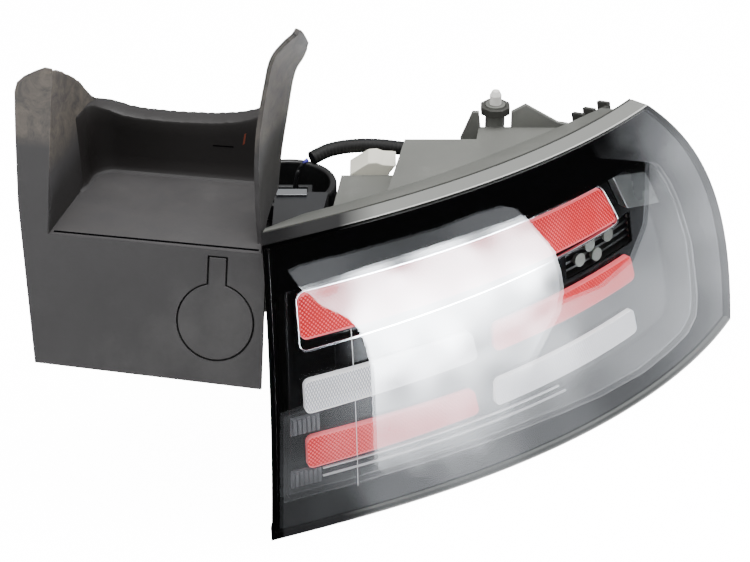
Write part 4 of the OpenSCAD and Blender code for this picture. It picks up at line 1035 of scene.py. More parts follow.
# Growth of the bright outline's two edges beyond the upper row
OUTLINE_GROWTH = (2.2, 1.0)
# How far the openings lie inside the rows, and the recess under the upper row: its start,
# end, foot and height
HOLE_INSET = 2
RECESS = (218, 284, 94.5, 20.5)
# How far the bright outline drops below the inboard end of the upper row
OUTLINE_DROP = 5.5


def bezel_face(shape):
    """The bezel's face as one sheet, with an opening for each row and one for the recess."""
    holes = [RECESS]
    for a0, a1, foot, _, tall0, tall1, _ in ROWS.values():
        tall = min(tall0, tall1) - 2 * HOLE_INSET
        holes.append((a0 + HOLE_INSET, a1 - 2 * HOLE_INSET, foot + HOLE_INSET, tall))
    columns = sorted({a for h in holes for a in h[:2]} | set(BEZEL_ALONG))
    levels = sorted({h[2] for h in holes} | {h[2] + h[3] for h in holes} | set(BEZEL_UP))
    nr = len(levels)
    verts, uvs, faces = [], [], []
    for a in columns:
        for z in levels:
            fade = min(1, (z - BEZEL_LOW) / BEZEL_FADE_IN) * min(1, (BEZEL_TOP - z) / BEZEL_FADE_OUT)
            h = z + BEZEL_RISE * (a - ROW_A0) * fade
            x = min(max(a, BEZEL_INBOARD + shape.edge_in(h)), window_end(shape, h) + BEZEL_OUTBOARD)
            verts.append(shape.at(x, h, BEZEL_DEPTH))
            uvs.append((x, h))
    for i, (a, b) in enumerate(zip(columns, columns[1:])):
        for j, (low, high) in enumerate(zip(levels, levels[1:])):
            x, z = (a + b) / 2, (low + high) / 2
            if not any(left < x < right and foot < z < foot + tall for left, right, foot, tall in holes):
                p = i * nr + j
                faces.append((p, p + nr, p + nr + 1, p + 1))
    face = outwards(new_object("bezel_face", verts, faces, uvs))
    with edited(face.data) as bm:
        bmesh.ops.dissolve_degenerate(bm, dist=1e-5, edges=bm.edges)
    return towards_viewer(face)


def bezel_edge(shape, u, v, grow):
    """A place round the window, drawn out towards the lens's inboard edge."""
    a, h = window(shape, u, v, grow)
    share = min(max(1 - (a - BORDER["inboard"]) / RIM_REACH, 0), 1)
    return a + share * (RIM_DRAW + shape.edge_in(h)), h


def outline_loop(grow):
    """A loop round the upper row, with a dark gap under it, which is widest inboard."""
    grid = row_places(ROWS["tail_diffuser_upper"], settings("tail_rows").corner, grow)
    nc, nr = len(grid), len(grid[0])
    for i, column in enumerate(grid):
        for j, (a, h) in enumerate(column):
            column[j] = (a, h - OUTLINE_DROP * (1 - j / (nr - 1)) * (1 - i / (nc - 1)))
    return around(grid)


class TAIL_OT_bezel(bpy.types.Operator):
    """Glossy bezel with its openings, and the bright outline of the upper row"""

    bl_idname = "tail.bezel"
    bl_label = "Bezel"

    def execute(self, context):
        shape = LampShape(settings("tail_lens"))
        face = solidify(bezel_face(shape), BEZEL_WALL)
        bevel(smooth(paint(face, MATERIALS["bezel"])), 0.4, 2)
        settle(face, ["inner_bezel"])
        way = round_square(RIM_PLACES)
        loops = [[bezel_edge(shape, u, v, grow) for u, v in way] for grow in RIM_GROWTH]
        rim = band("bezel_rim", shape, *loops, *BEZEL_RIM_DEPTHS)
        bevel(smooth(paint(rim, MATERIALS["bezel"])), 0.4, 2)
        settle(rim, [])
        loops = [outline_loop(grow) for grow in OUTLINE_GROWTH]
        line = band("upper_outline", shape, *loops, *OUTLINE_DEPTHS)
        bevel(smooth(paint(line, MATERIALS["chrome"])), 0.3, 2)
        settle(line, ["upper_frame"])
        return {"FINISHED"}


# CAD nodes whose shape is right: node, piece, material, slot, edge radius
KEPT = [
    ("housing", "grey_housing", "housing", "grey_housing", 0.6),
    ("boss_ring", "boss_collar", "nylon", "dark_nylon", 0.5),
    ("locating_peg", "white_peg", "white_plastic", "white_plastic", 0.4),
    ("edge_clip", "outboard_clip", "nylon", "dark_nylon", 0.4),
    ("side_bracket", "black_side_bracket", "bracket", "black_bracket", 0.8),
    ("metal_clip", "bright_clip", "steel", "spring_steel", 0.2),
    ("body_grommet", "rubber_outlet", "rubber", "grommet_rubber", 0.6),
    ("plug", "harness_plug", "bracket", "black_bracket", 0.5),
    ("wires", "harness_leads", "wire", "wire_sheath", 0.0),
    ("cable_clip", "milky_clip", "milky", "translucent_nylon", 0.8),
    ("driver_module", "light_driver", "nylon", "dark_nylon", 0.6),
    ("vent_cap", "breather_cap", "rubber", "grommet_rubber", 0.5),
    ("outboard_pin", "steel_pin", "zinc", "zinc_steel", 0.5),
    ("end_prism", "smoky_block", "prism", "grey_prism", 0.5),
    ("ribbed_panel", "recess_panel", "dark", "dark_panel", 0.2),
    ("collimators", "pale_optics", "optic", "white_plastic", 0.4),
    ("fluted_optics", "edge_flutes", "flutes", "fluted_plastic", 0.2),
    ("accent_strips", "bright_strips", "bright", "bright_trim", 0.2),
    ("reflector_tray", "white_tray", "white_plastic", "white_plastic", 0.3),
    ("row_dividers", "row_walls", "dark", "dark_panel", 0.2),
    ("upper_led_board", "upper_board", "board", "circuit_board", 0.0),
    ("middle_led_board", "middle_board", "board", "circuit_board", 0.0),
    ("lower_led_board", "lower_board", "board", "circuit_board", 0.0),
]


class TAIL_OT_kept(bpy.types.Operator):
    """Moulded pieces whose shape comes from the solids"""

    bl_idname = "tail.kept"
    bl_label = "Moulded pieces"

    def execute(self, context):
        for node, name, mat, slot, width in KEPT:
            made = smooth(paint(cad_copy(name, node), MATERIALS[mat]), 30)
            if width:
                bevel(made, width, 2, 40)
            settle(made, [node])
        return {"FINISHED"}


# Shapes of the side trim, in mm from the foot of its panel beside the lens: x along the
# panel, y in and z up. Each height on the sloping front is a height over its foot
TRIM_FOOT = Vector((-5, 6, 103)) + CORNER
PANEL = [
    (1.8, -1.2), (-127, 1), (-137, 71), (-139, 86), (-141.4, 122), (-142.3, 142), (-141, 147),
    (-137, 150.5), (-131, 153.5), (-126, 155.5), (-122, 155), (-120.8, 150), (-122, 137), (-121.5, 70),
    (0.8, 69.6),
]
# The flap's middle along the panel and up it, and its hinge
FLAP_X, FLAP_UP, HINGE_UP = -25.5, 34.0, 69.83
# The seat behind the flap: how far it reaches in and out from its edge, and its two depths
SEAT_EDGES, SEAT_DEPTHS = (-2.0, 2.6), (2.75, 3.9)
# The top of the left wall: its depth and height, from the ear back to the rim
EAR = [
    (57, 154), (62, 152.5), (72, 146), (82, 139), (92, 131), (100, 122), (108, 114), (114, 109),
    (118, 107.5),
]
# The rim along the back, which climbs into the blade: its place along the trim and height
RIM = [
    (-121, 116), (-115, 113), (-111, 110), (-105, 107), (-100, 105.3), (-90, 104), (-70, 103.6),
    (-48, 104.6), (-35, 106.3), (-26, 108.6), (-18, 112), (-12, 116),
]
# The blade's two edges, up from the tray's floor
BLADE_FRONT = [
    (-6, 36, 66), (-9, 45, 98), (-9.5, 54, 126), (-6, 63, 154), (-3, 67, 167), (4, 70, 176), (9, 72, 180),
]
BLADE_REAR = [
    (-12, 104, 66), (-8.5, 101, 92), (-3, 98, 122), (0, 97, 138), (3, 96, 148), (8, 95, 157), (11, 93, 166),
]
# A place of the left wall's face at the tray's floor, and its slant with depth and height
WALL_X, WALL_Y, WALL_SPREAD, WALL_LEAN = -121.8, 25, 0.068, 0.02
# Middle of the tray's round corner along the trim, the end of its back wall, and how far the
# rim reaches past the left wall's face
CORNER_X, BACK_END, RIM_PAST_WALL = -104.4, -13, 4.6
# The lip on top of the left wall: steps out and up
LIP = [(-0.8, 0.9), (-4.6, 0.2)]
# The two posts under the tray, and the reach of each
POSTS, POST_REACH = [(-40, 88), (-18, 88)], 5
# Numbers of a sheet's places: 1 is rubbed, 0 is plain, and below 0 is painted shade, which is darkest at -1
FLAT_WEAR, BLADE_SHADE, RIM_SHADE, LIP_SHADE, DEEP_SHADE = 0.06, -0.4, -0.8, -0.9, -1.0
# The ear is rubbed from this height on, and fully so this much higher; below this height the wall gets
# painted shade, at most this much
EAR_RUBBED_FROM, EAR_RUBBED_OVER, EAR_MOST_SHADE = 98, 18, -0.7
# Lines in the tray: a black strip painted as the shadow where its floor meets the front panel, and the marks
# that use has left on its back wall: a cut, drawn as a black line of painted shade, and a reddish scratch.
# Each has its material and corners
MARKS = {
    "tray_seam": (
        "border", [(-119.5, 29.6, 69.1), (-4, 29.2, 69.1), (-4, 30.8, 69.1), (-119.5, 31.2, 69.1)]
    ),
    "tray_cut": ("border", [(-47, 103.9, 90), (-35, 103.9, 90.2), (-35, 103.9, 90.8), (-47, 103.9, 90.6)]),
    "tray_scratch": (
        "scratch", [(-29.6, 104.2, 92), (-28.4, 104.2, 93), (-27.2, 104.3, 100), (-28.4, 104.3, 99)]
    ),
}


def between(points, x):
    """Height at x on a line through the points."""
    for (x0, y0), (x1, y1) in zip(points, points[1:]):
        if x <= x1:
            return y0 + (y1 - y0) * max(x - x0, 0) / (x1 - x0)
    return points[-1][1]


def wobble(k, size):
    """A small uneven step, the same on every run."""
    return size * (math.sin(k * 2.3) * 0.5 + math.sin(k * 5.1 + 1.3) * 0.3 + math.sin(k * 11.7) * 0.2)


def through(points, k):
    """A smooth curve through the points, with k steps from each to the next."""
    out = []
    p = [Vector(q) for q in points]
    for i in range(len(p) - 1):
        a, b, c, d = p[max(i - 1, 0)], p[i], p[i + 1], p[min(i + 2, len(p) - 1)]
        for s in range(k):
            t = s / k
            bend = (2 * a - 5 * b + 4 * c - d) * t * t + (3 * b - a - 3 * c + d) * t ** 3
            out.append(0.5 * (2 * b + (c - a) * t + bend))
    out.append(p[-1])
    return out


class TrimShape:
    """The side trim as sheets of places, each of which has a number for its rubbing and its painted shade.
    """

    def __init__(self, s):
        self.s = s
        self.place = Matrix.Translation(TRIM_FOOT) @ Matrix.Rotation(math.radians(s.turn), 4, "Z")
        self.lean = math.radians(s.lean)
        self.verts, self.faces, self.rub_and_shade = [], [], []

    def at(self, x, y, z):
        return (self.place @ Vector((x, y, z))) * MM

    def slope(self, x, up, y=0.0):
        """A place on the sloping front, up along it, and y behind it."""
        c, n = math.cos(self.lean), math.sin(self.lean)
        return Vector((x, up * n + y * c, up * c - y * n))

    def keyhole(self, grow, steps=40):
        """The flap's outline: from its hinge down the neck, round the disc and back."""
        s, r = self.s, self.s.flap / 2 + grow
        half = s.neck / 2 + grow
        start = math.asin(half / r)
        loop = [(FLAP_X - half, HINGE_UP + grow)]
        for k in range(steps + 1):
            t = start + (2 * math.pi - 2 * start) * k / steps
            loop.append((FLAP_X - r * math.sin(t), FLAP_UP + r * math.cos(t)))
        return loop + [(FLAP_X + half, HINGE_UP + grow)]

    def sheet(self, grid, towards, rub_and_shade):
        """A grid of places, which faces towards; the last argument gives the rubbing and the painted shade
        by the row and place.
        """
        first, nr = len(self.verts), len(grid[0])
        for column in grid:
            for j, p in enumerate(column):
                self.verts.append(self.at(*p))
                self.rub_and_shade.append(rub_and_shade(j, p))
        a, b, c = (self.verts[first + k] for k in (0, 1, nr))
        flip = (b - a).cross(c - a).dot(self.place.to_3x3() @ Vector(towards)) > 0
        self.faces += grid_faces(len(grid), nr, first, not flip)

    def flat(self, loops, towards, rub_and_shade):
        """A flat face inside the first loop and outside the others."""
        bm = bmesh.new()
        for loop in loops:
            made = [bm.verts.new(self.at(*p)) for p in loop]
            for k, v in enumerate(made):
                bm.edges.new((v, made[(k + 1) % len(made)]))
        bmesh.ops.triangle_fill(bm, use_beauty=True, edges=bm.edges[:])
        want = self.place.to_3x3() @ Vector(towards)
        bm.normal_update()
        first = len(self.verts)
        for k, v in enumerate(bm.verts):
            v.index = k
            self.verts.append(v.co.copy())
            self.rub_and_shade.append(rub_and_shade)
        for f in bm.faces:
            order = [first + v.index for v in f.verts]
            self.faces.append(order if f.normal.dot(want) > 0 else order[::-1])
        bm.free()

    def panel(self):
        """The sloping front, with the flap's opening in it."""
        c = math.cos(self.lean)
        outline = [self.slope(x, z / c) for x, z in PANEL]
        hole = [self.slope(x, up) for x, up in self.keyhole(self.s.gap)]
        self.flat([outline, hole], (0, -1, 0.3), 0.0)

    def floor(self):
        s = self.s
        front = s.tray * math.tan(self.lean) + 0.6
        rear = s.tray_back + 1
        edge = [(-121.5, front), (-2, front), (-5, 41), (-9, 60), (-15, rear), (-119, rear)]
        self.flat([[(x, y, s.tray) for x, y in edge]], (0, 0, 1), FLAT_WEAR)

    def left_wall(self, n=22, m=14):
        """The tray's left wall, which ends in the ear, with the lip on it."""
        s, grid, slope = self.s, [], math.tan(self.lean)
        back = EAR[-1][0]
        for i in range(n + 1):
            u = i / n
            # The wall starts on the sloping front, so its depth and its top set each other
            top = EAR[0][1]
            for _ in range(6):
                top = between(EAR, top * slope * (1 - u) + back * u)
            top += wobble(i, 0.35)
            column = []
            for j in range(m + 1):
                # The foot is under the tray's floor
                z = s.tray - 1.5 + (top - s.tray + 0.5) * j / m
                y = z * slope * (1 - u) + back * u
                column.append((WALL_X + (y - WALL_Y) * WALL_SPREAD - (z - s.tray) * WALL_LEAN, y, z))
            x, y, z = column[-1]
            grid.append(column + [(x + out, y, z + up) for out, up in LIP])

        # Rubbed above the ear's rub height; below it, painted shade darkens the lower wall
        def rubbing_and_shade(j, p):
            return min(max((p[2] - EAR_RUBBED_FROM) / EAR_RUBBED_OVER, EAR_MOST_SHADE), 1.0)

        self.sheet(grid, (1, 0, 0), rubbing_and_shade)

    def back_wall(self, n=44, bends=8):
        """The tray's back wall with its round corner and the rim on it, up to the blade."""
        s, r = self.s, self.s.corner
        cx, cy = CORNER_X, s.tray_back - r
        # Places of the wall, each with the way out of the tray
        stations = [(cx - r - 3, cy - 16, -1, 0), (cx - r, cy - 8, -1, 0)]
        for k in range(bends + 1):
            t = math.radians(180 - 90 * k / bends)
            way = (math.cos(t), math.sin(t))
            stations.append((cx + r * way[0], cy + r * way[1], *way))
        stations += [(cx + (BACK_END - cx) * k / n, s.tray_back, 0, 1) for k in range(1, n + 1)]
        grid = []
        for k, (x, y, nx, ny) in enumerate(stations):
            top = between(RIM, x) + wobble(k, 0.25)
            # Round the corner the rim is cut short, so that it stays behind the left wall
            reach = s.rim + wobble(k + 3, 0.4)
            if abs(nx) > 0.05:
                reach = min(s.rim, (r + RIM_PAST_WALL) / abs(nx) - r)
            # Each row is a step out of the tray and a height: the foot, the wall and the rim
            rows = [(-7, s.tray - 0.8), (-3.2, s.tray), (-1.3, s.tray + 0.9), (-0.2, s.tray + 3.2)]
            rows += [(0.4 * t, s.tray + 3.2 + (top - s.tray - 5.2) * t) for t in (0.25, 0.5, 0.75, 1.0)]
            rows += [(0.9, top - 0.7), (2.2, top), (max(reach * 0.55, 3.2), top + 0.1), (reach, top - 0.4)]
            # The first station ends inside the left wall, and doesn't come out of its far side
            if k == 0:
                rows = [(min(d, 0.3 + 0.05 * d), z) for d, z in rows]
            grid.append([(x + nx * d, y + ny * d, z) for d, z in rows])
        # Painted shade: the wall is darkest, and its foot and the rim above it are less so
        rubbing_and_shade = [-0.3 * j for j in range(3)] + [DEEP_SHADE] * 5 + [LIP_SHADE] + [RIM_SHADE] * 3
        self.sheet(grid, (0, -1, 0.2), lambda j, p: rubbing_and_shade[j])

    def blade(self, n=8, m=6):
        """The tall blade at the tray's right, with a ragged edge front and back."""
        front, rear = through(BLADE_FRONT, n), through(BLADE_REAR, n)
        grid = []
        for i, (f, b) in enumerate(zip(front, rear)):
            rags = {0: -wobble(i, 0.5), m: wobble(i + 20, 0.45)}
            column = []
            for j in range(m + 1):
                k = j / m
                bow = 4 * k * (1 - k)
                top = 4.5 * bow * (i / (len(front) - 1)) ** 8
                column.append(tuple(f.lerp(b, k) + Vector((-1.6 * bow, rags.get(j, 0), top))))
            grid.append(column)
        # The blade is darkened a little by painted shade
        self.sheet(grid, (-1, 0, 0.2), lambda j, p: BLADE_SHADE)

    def ledge(self):
        """The seat behind the flap's edge, which the flap closes on."""
        loops = [
            [self.at(*self.slope(x, up, d)) for x, up in self.keyhole(edge)]
            for edge in SEAT_EDGES for d in SEAT_DEPTHS
        ]
        n = len(loops[0])
        faces = []
        for k in range(n):
            q = (k + 1) % n
            for a, b in ((0, 1), (1, 3), (3, 2), (2, 0)):
                faces.append((a * n + k, a * n + q, b * n + q, b * n + k))
        return outwards(new_object("flap_seat", sum(loops, []), faces))


def cad_posts(name):
    """The two posts under the tray, cut from the solid of the trim."""
    made = cad_copy(name, "closing_trim")
    spots = [(Vector((x, y, 0)) + CORNER) * MM for x, y in POSTS]
    with edited(made.data) as bm:
        far = [v for v in bm.verts if min((v.co.xy - p.xy).length for p in spots) > POST_REACH * MM]
        bmesh.ops.delete(bm, geom=far, context="VERTS")
        bmesh.ops.holes_fill(bm, edges=bm.edges[:])
        bmesh.ops.recalc_face_normals(bm, faces=bm.faces)
    return made


class TAIL_OT_trim(bpy.types.Operator):
    """Side trim with its tray, rims and blade, and the flap in it"""

    bl_idname = "tail.trim"
    bl_label = "Side trim"

    def execute(self, context):
        shape = TrimShape(settings("tail_trim"))
        for part in (shape.panel, shape.floor, shape.left_wall, shape.back_wall, shape.blade):
            part()
        made = new_object("side_trim", shape.verts, shape.faces)
        made.data.attributes.new("rub_and_shade", "FLOAT", "POINT").data.foreach_set("value", shape.rub_and_shade)
        solidify(made, shape.s.wall, even=True)
        bevel(smooth(paint(made, MATERIALS["trim"]), 32), 0.9, 3, 34)
        settle(made, ["closing_trim"])
        settle(smooth(paint(cad_posts("trim_posts"), MATERIALS["trim"]), 30), [])
        for name, (mat, corners) in MARKS.items():
            mark = new_object(name, [shape.at(*p) for p in corners], [(0, 1, 2, 3)])
            settle(paint(solidify(mark, 0.12, 0), MATERIALS[mat]), [])
        # The seat is coloured dark charcoal: painted shade in the gap round the flap
        settle(smooth(paint(shape.ledge(), MATERIALS["dark"]), 30), [])
        flap = smooth(paint(cad_copy("keyhole_flap", "access_flap"), MATERIALS["flap"]), 30)
        settle(bevel(flap, 0.35, 2, 40), ["access_flap"], FLAP)
        return {"FINISHED"}


# Light sources: their size in mm, the first place and the step along a row, and the rows
# that have them, with the place where they end
LED_SIZE = (3.5, 1.3, 2.8)
LED_START, LED_STEP = 41, 22
LED_ROWS = [("tail_diffuser_upper", 240), ("indicator_diffuser_inner", 278), ("tail_diffuser_lower", 278)]


class TAIL_OT_leds(bpy.types.Operator):
    """Light sources on the boards"""

    bl_idname = "tail.leds"
    bl_label = "Light sources"

    def execute(self, context):
        shape = LampShape(settings("tail_lens"))
        piece = new_object("led_body", [], [])
        size = Matrix.Diagonal((*(side * MM for side in LED_SIZE), 1))
        with edited(piece.data) as bm:
            bmesh.ops.create_cube(bm, size=1, matrix=size)
            bmesh.ops.bevel(bm, geom=bm.edges[:], offset=0.25 * MM, segments=1, affect="EDGES")
        places = []
        for key, end in LED_ROWS:
            row = ROWS[key]
            for a in range(LED_START, end, LED_STEP):
                middle = row[2] + row[3] * (a - ROW_A0) + row[5] / 2
                places.append(shape.turned(a, middle, LED_DEPTH))
        made = scatter("light_sources", piece, places, MATERIALS["led"])
        settle(smooth(made, 30), ["leds"])
        return {"FINISHED"}


class TAIL_OT_fasteners(bpy.types.Operator):
    """Cross-head screws of the bracket, the trim and the light driver"""

    bl_idname = "tail.fasteners"
    bl_label = "Screws"

    def execute(self, context):
        for node in ("bracket_screws", "trim_screws", "driver_screws"):
            made = smooth(paint(cad_copy(node + "_set", node), MATERIALS["zinc"]), 30)
            settle(bevel(made, 0.25, 2, 40), [node])
        return {"FINISHED"}


# Run of the sleeve over the leads, in mm from the lamp's corner
SLEEVE = [
    (21, 172, 155), (32, 179, 157), (46, 184, 157), (62, 186, 156), (82, 186, 153), (102, 190, 145),
    (114, 196, 136), (122, 198, 129), (129.1, 198, 127),
]
# Its radius, the pitch of its rings and their depth
SLEEVE_RADIUS, SLEEVE_PITCH, SLEEVE_RINGS = 4.4, 2.4, 0.1


class TAIL_OT_sleeve(bpy.types.Operator):
    """Corrugated sleeve over the leads"""

    bl_idname = "tail.sleeve"
    bl_label = "Sleeve"

    def execute(self, context):
        path = path_object("sleeve_path", [(p + CORNER) * MM for p in through(SLEEVE, 8)])
        made = run_group(path, ribbed_tube_tree(), {
            "Radius": SLEEVE_RADIUS * MM, "Pitch": SLEEVE_PITCH * MM, "Depth": SLEEVE_RINGS * MM,
            "Material": MATERIALS["conduit"],
        }, "harness_sleeve")
        settle(smooth(outwards(made), 40), ["conduit"])
        return {"FINISHED"}


# What the lens mirrors, drawn where the camera sees it in the lens, in pixels of the picture.
# The border's window ends at this line
IMAGE = (750, 562)
WINDOW_EDGE = [
    (284, 503), (358, 483), (431, 461), (497, 439), (563, 413), (600, 397), (645, 372), (669, 352),
    (688, 333), (696, 316), (697, 297), (695, 274), (691, 243), (685, 222), (678, 200), (670, 183),
    (659, 166), (650, 162),
]
# Each card: its height over the floor in steps, the width of its soft edge, its outline, and
# spots of it with their glow
CARDS = {
    "Mirrored upper band": (6, 1.0, [
        (290, 273), (300, 268), (322, 262), (343, 257), (387, 245), (440, 230), (476, 216), (503, 208),
        (517, 210), (523, 216), (515, 221), (440, 246), (380, 265), (322, 284), (302, 290),
    ], [
        (300, 272, 1.5), (400, 246, 0.9), (400, 256, 1.1), (500, 210, 1.6), (505, 222, 1.7),
        (310, 285, 1.6),
    ]),
    "Mirrored softbox": (5, 1.6, [
        (302, 291), (322, 285), (380, 266), (440, 247), (515, 222), (524, 217), (538, 233), (554, 252),
        (561, 275), (563, 293), (560, 312), (540, 350), (520, 390), (500, 440), (470, 470), (400, 480),
        (379, 470), (377, 420), (375, 372), (368, 345), (361, 331), (350, 319), (322, 306), (310, 294),
    ], [
        (330, 290, 5), (400, 266, 7), (480, 240, 9), (530, 226, 16), (340, 308, 18), (400, 285, 70),
        (470, 262, 55), (530, 245, 45), (370, 320, 80), (420, 310, 90), (480, 290, 80), (530, 275, 90),
        (556, 285, 9), (400, 342, 85), (450, 335, 90), (510, 312, 38), (550, 315, 12), (385, 365, 60),
        (430, 360, 50), (480, 350, 22), (520, 345, 12), (400, 390, 12), (450, 385, 12), (500, 380, 6),
        (395, 440, 9), (440, 430, 8), (490, 425, 4), (400, 478, 0), (440, 474, 0), (470, 468, 0),
        (500, 438, 0), (520, 390, 0.5),
    ]),
    "Mirrored in the window": (4, 1.5, [
        (284, 418), (322, 405), (374, 392), (450, 372), (520, 335), (566, 304), (604, 288), (634, 262),
        (648, 225), (650, 190), *WINDOW_EDGE[::-1],
    ], [
        (300, 440, 0.5), (295, 495, 0.9), (400, 465, 5.5), (480, 435, 6.5), (540, 410, 4.2),
        (600, 385, 3.2), (660, 320, 3.9), (680, 240, 3.6), (665, 180, 3.0), (650, 175, 1.4),
        (640, 300, 4.0), (650, 240, 2.6), (560, 350, 12), (520, 400, 7), (480, 400, 5), (400, 430, 1.5),
        (360, 450, 1.2), (600, 340, 4),
    ]),
    "Mirrored on the border": (3, 1.5, [
        *WINDOW_EDGE, (600, 158), (592, 140), (640, 105), (690, 112), (730, 190), (745, 290), (735, 350),
        (650, 418), (530, 484), (430, 520), (345, 540), (284, 550),
    ], [
        (290, 520, 0.45), (340, 520, 0.6), (400, 495, 2.6), (480, 462, 4.4), (560, 440, 2.2),
        (640, 395, 1.2), (700, 320, 1.6), (715, 260, 2.2), (710, 220, 2.8), (680, 150, 3.2),
        (655, 140, 2.0), (630, 140, 0.9), (605, 150, 0.1), (600, 140, 0.0), (625, 155, 0.3),
    ]),
}
# One step of a card's height, in metres
CARD_LIFT = 0.0001
# How often a card is cut finer, and the pixels at which an edge is short enough
CARD_CUTS, CARD_CELL = 5, 14
# How far a spot's glow reaches before it gives way to the next, in square pixels
SPOT_REACH = 12
# Grid of known places that the search on the lens starts from, its steps and its longest step
KNOWN_GRID = [(a, h) for a in range(0, 400, 12) for h in range(0, 190, 12)]
SEARCH_STEPS, LONGEST_STEP = 7, 30
# A ray that leaves the lens less steeply than this is taken as this steep
LEAST_FALL = -0.05


class Mirror:
    """Finds the place on the floor that the lens mirrors at a pixel of the picture."""

    def __init__(self, camera, shape, floor_z):
        self.eye, self.turn = camera.location.copy(), camera.rotation_euler.to_matrix()
        self.reach = camera.data.lens / camera.data.sensor_width * IMAGE[0]
        self.shape, self.floor_z = shape, floor_z
        self.known = [(a, h, self.pixel(a, h)) for a, h in KNOWN_GRID]

    def pixel(self, a, h):
        """Where the camera sees a place of the lens."""
        q = self.turn.transposed() @ (self.shape.at(a, h, 0) - self.eye)
        return Vector((IMAGE[0] / 2 + self.reach * q.x / -q.z, IMAGE[1] / 2 - self.reach * q.y / -q.z))

    def place(self, u, v):
        """The place of the lens at a pixel, found step by step."""
        want = Vector((u, v))
        a, h, _ = min(self.known, key=lambda k: (k[2] - want).length)
        for _ in range(SEARCH_STEPS):
            p = self.pixel(a, h)
            da, dh = self.pixel(a + 1, h) - p, self.pixel(a, h + 1) - p
            miss = want - p
            det = da.x * dh.y - da.y * dh.x
            steps = ((miss.x * dh.y - miss.y * dh.x) / det, (da.x * miss.y - da.y * miss.x) / det)
            a, h = (x + max(-LONGEST_STEP, min(LONGEST_STEP, step)) for x, step in zip((a, h), steps))
        return a, h

    def on_floor(self, u, v):
        """Follows the mirrored ray from the lens down to the floor."""
        a, h = self.place(u, v)
        at = self.shape.at(a, h, 0)
        x, z = self.shape.at(a + 1, h, 0) - at, self.shape.at(a, h + 1, 0) - at
        normal = x.cross(z).normalized()
        ray = (at - self.eye).normalized()
        out = ray - 2 * ray.dot(normal) * normal
        return at + out * ((self.floor_z - at.z) / min(out.z, LEAST_FALL))


def glow_at(spot, spots):
    """Glow between the named spots, by the nearness of each."""
    nearness = [1 / ((spot.x - u) ** 2 + (spot.y - v) ** 2 + SPOT_REACH) ** 1.5 for u, v, _ in spots]
    return sum(w * glow for w, (_, _, glow) in zip(nearness, spots)) / sum(nearness)


def glowing(name, tint, glow, beneath):
    """A material that adds a glow, by a number or an attribute, to what another shader gives."""
    m, t, out = material(name)
    emit = add(t, "ShaderNodeEmission", {"Color": tint})
    if isinstance(glow, str):
        t.links.new(attribute(t, glow), emit.inputs["Strength"])
    else:
        emit.inputs["Strength"].default_value = glow
    under = add(t, *beneath)
    both = add(t, "ShaderNodeAddShader", {0: emit.outputs[0], 1: under.outputs[0]})
    t.links.new(both.outputs[0], out.inputs[0])
    return m


def hide_from(obj, *rays):
    """Hides the object from kinds of ray."""
    for ray in rays:
        setattr(obj, "visible_" + ray, False)


def mirrored_card(name, card, mirror, tint):
    """A glowing card on the floor, which only mirrors see, with a feathered edge."""
    lift, feather, outline, spots = card
    corners = [Vector(c) for c in outline]
    n = len(corners)
    turn = sum(corners[k - 1].x * corners[k].y - corners[k].x * corners[k - 1].y for k in range(n))
    side = 1 if turn > 0 else -1
    mesh = bpy.data.meshes.new(name)
    with edited(mesh) as bm:
        layer = bm.verts.layers.float.new("glow")
        inner, outer = [], []
        for ring, grow in ((inner, -0.5), (outer, 0.5)):
            for k in range(n):
                run = (corners[(k + 1) % n] - corners[k - 1]).normalized()
                spot = corners[k] + Vector((run.y, -run.x)) * side * feather * grow
                ring.append(bm.verts.new((*spot, 0)))
        edges = [bm.edges.new((inner[k - 1], inner[k])) for k in range(n)]
        bmesh.ops.triangle_fill(bm, use_beauty=True, edges=edges)
        for k in range(n):
            bm.faces.new((inner[k - 1], inner[k], outer[k], outer[k - 1]))
        # Inside its edge the card is cut finer, so that its glow can change from place to place
        for _ in range(CARD_CUTS):
            inside = [e for e in bm.edges if not any(v in outer for v in e.verts)]
            long = [e for e in inside if e.calc_length() > CARD_CELL]
            if not long:
                break
            bmesh.ops.subdivide_edges(bm, edges=long, cuts=1)
            many_sided = [f for f in bm.faces if len(f.verts) > 4]
            bmesh.ops.triangulate(bm, faces=many_sided)
        for v in bm.verts:
            spot = v.co.xy
            v[layer] = 0.0 if v in outer else glow_at(spot, spots)
            v.co = mirror.on_floor(*spot) + Vector((0, 0, lift * CARD_LIFT))
    # A cool white that fades from spot to spot, as a softbox does in curved plastic
    look = glowing(name, tint, "glow", ("ShaderNodeBsdfTransparent",))
    hide_from(paint(linked(name, mesh), look), "camera", "diffuse", "shadow", "transmission")


# The camera: its place in metres, its tilt in degrees, and its lens and sensor in mm
EYE, TILT, FOCAL, SENSOR = (0.0871, -0.9425, 0.5966), 58, 96, 36
# Half the floor's side, and the gap between it and the part, in metres
FLOOR_HALF, FLOOR_GAP = 6, 0.0005
# Lights: place, aim, size in metres and power in W, where the panel doesn't set it
LIGHTS = {
    "Overhead": ((0.15, -0.05, 1.3), (0.1, 0.05, 0), (1.4, 1.0), None),
    "Left fill": ((-1.2, -0.7, 0.7), (0, 0, 0), (0.9, 0.9), 9.0),
    "Right rim": ((1.3, 0.4, 0.6), (0.2, 0.1, 0), (0.7, 0.9), 8.0),
}
# The sky from straight down to straight up: dark below, so that the lens mirrors a dark room
SKY = [(0.0, 0.02), (0.5, 0.03), (0.62, 0.75), (1.0, 1.0)]


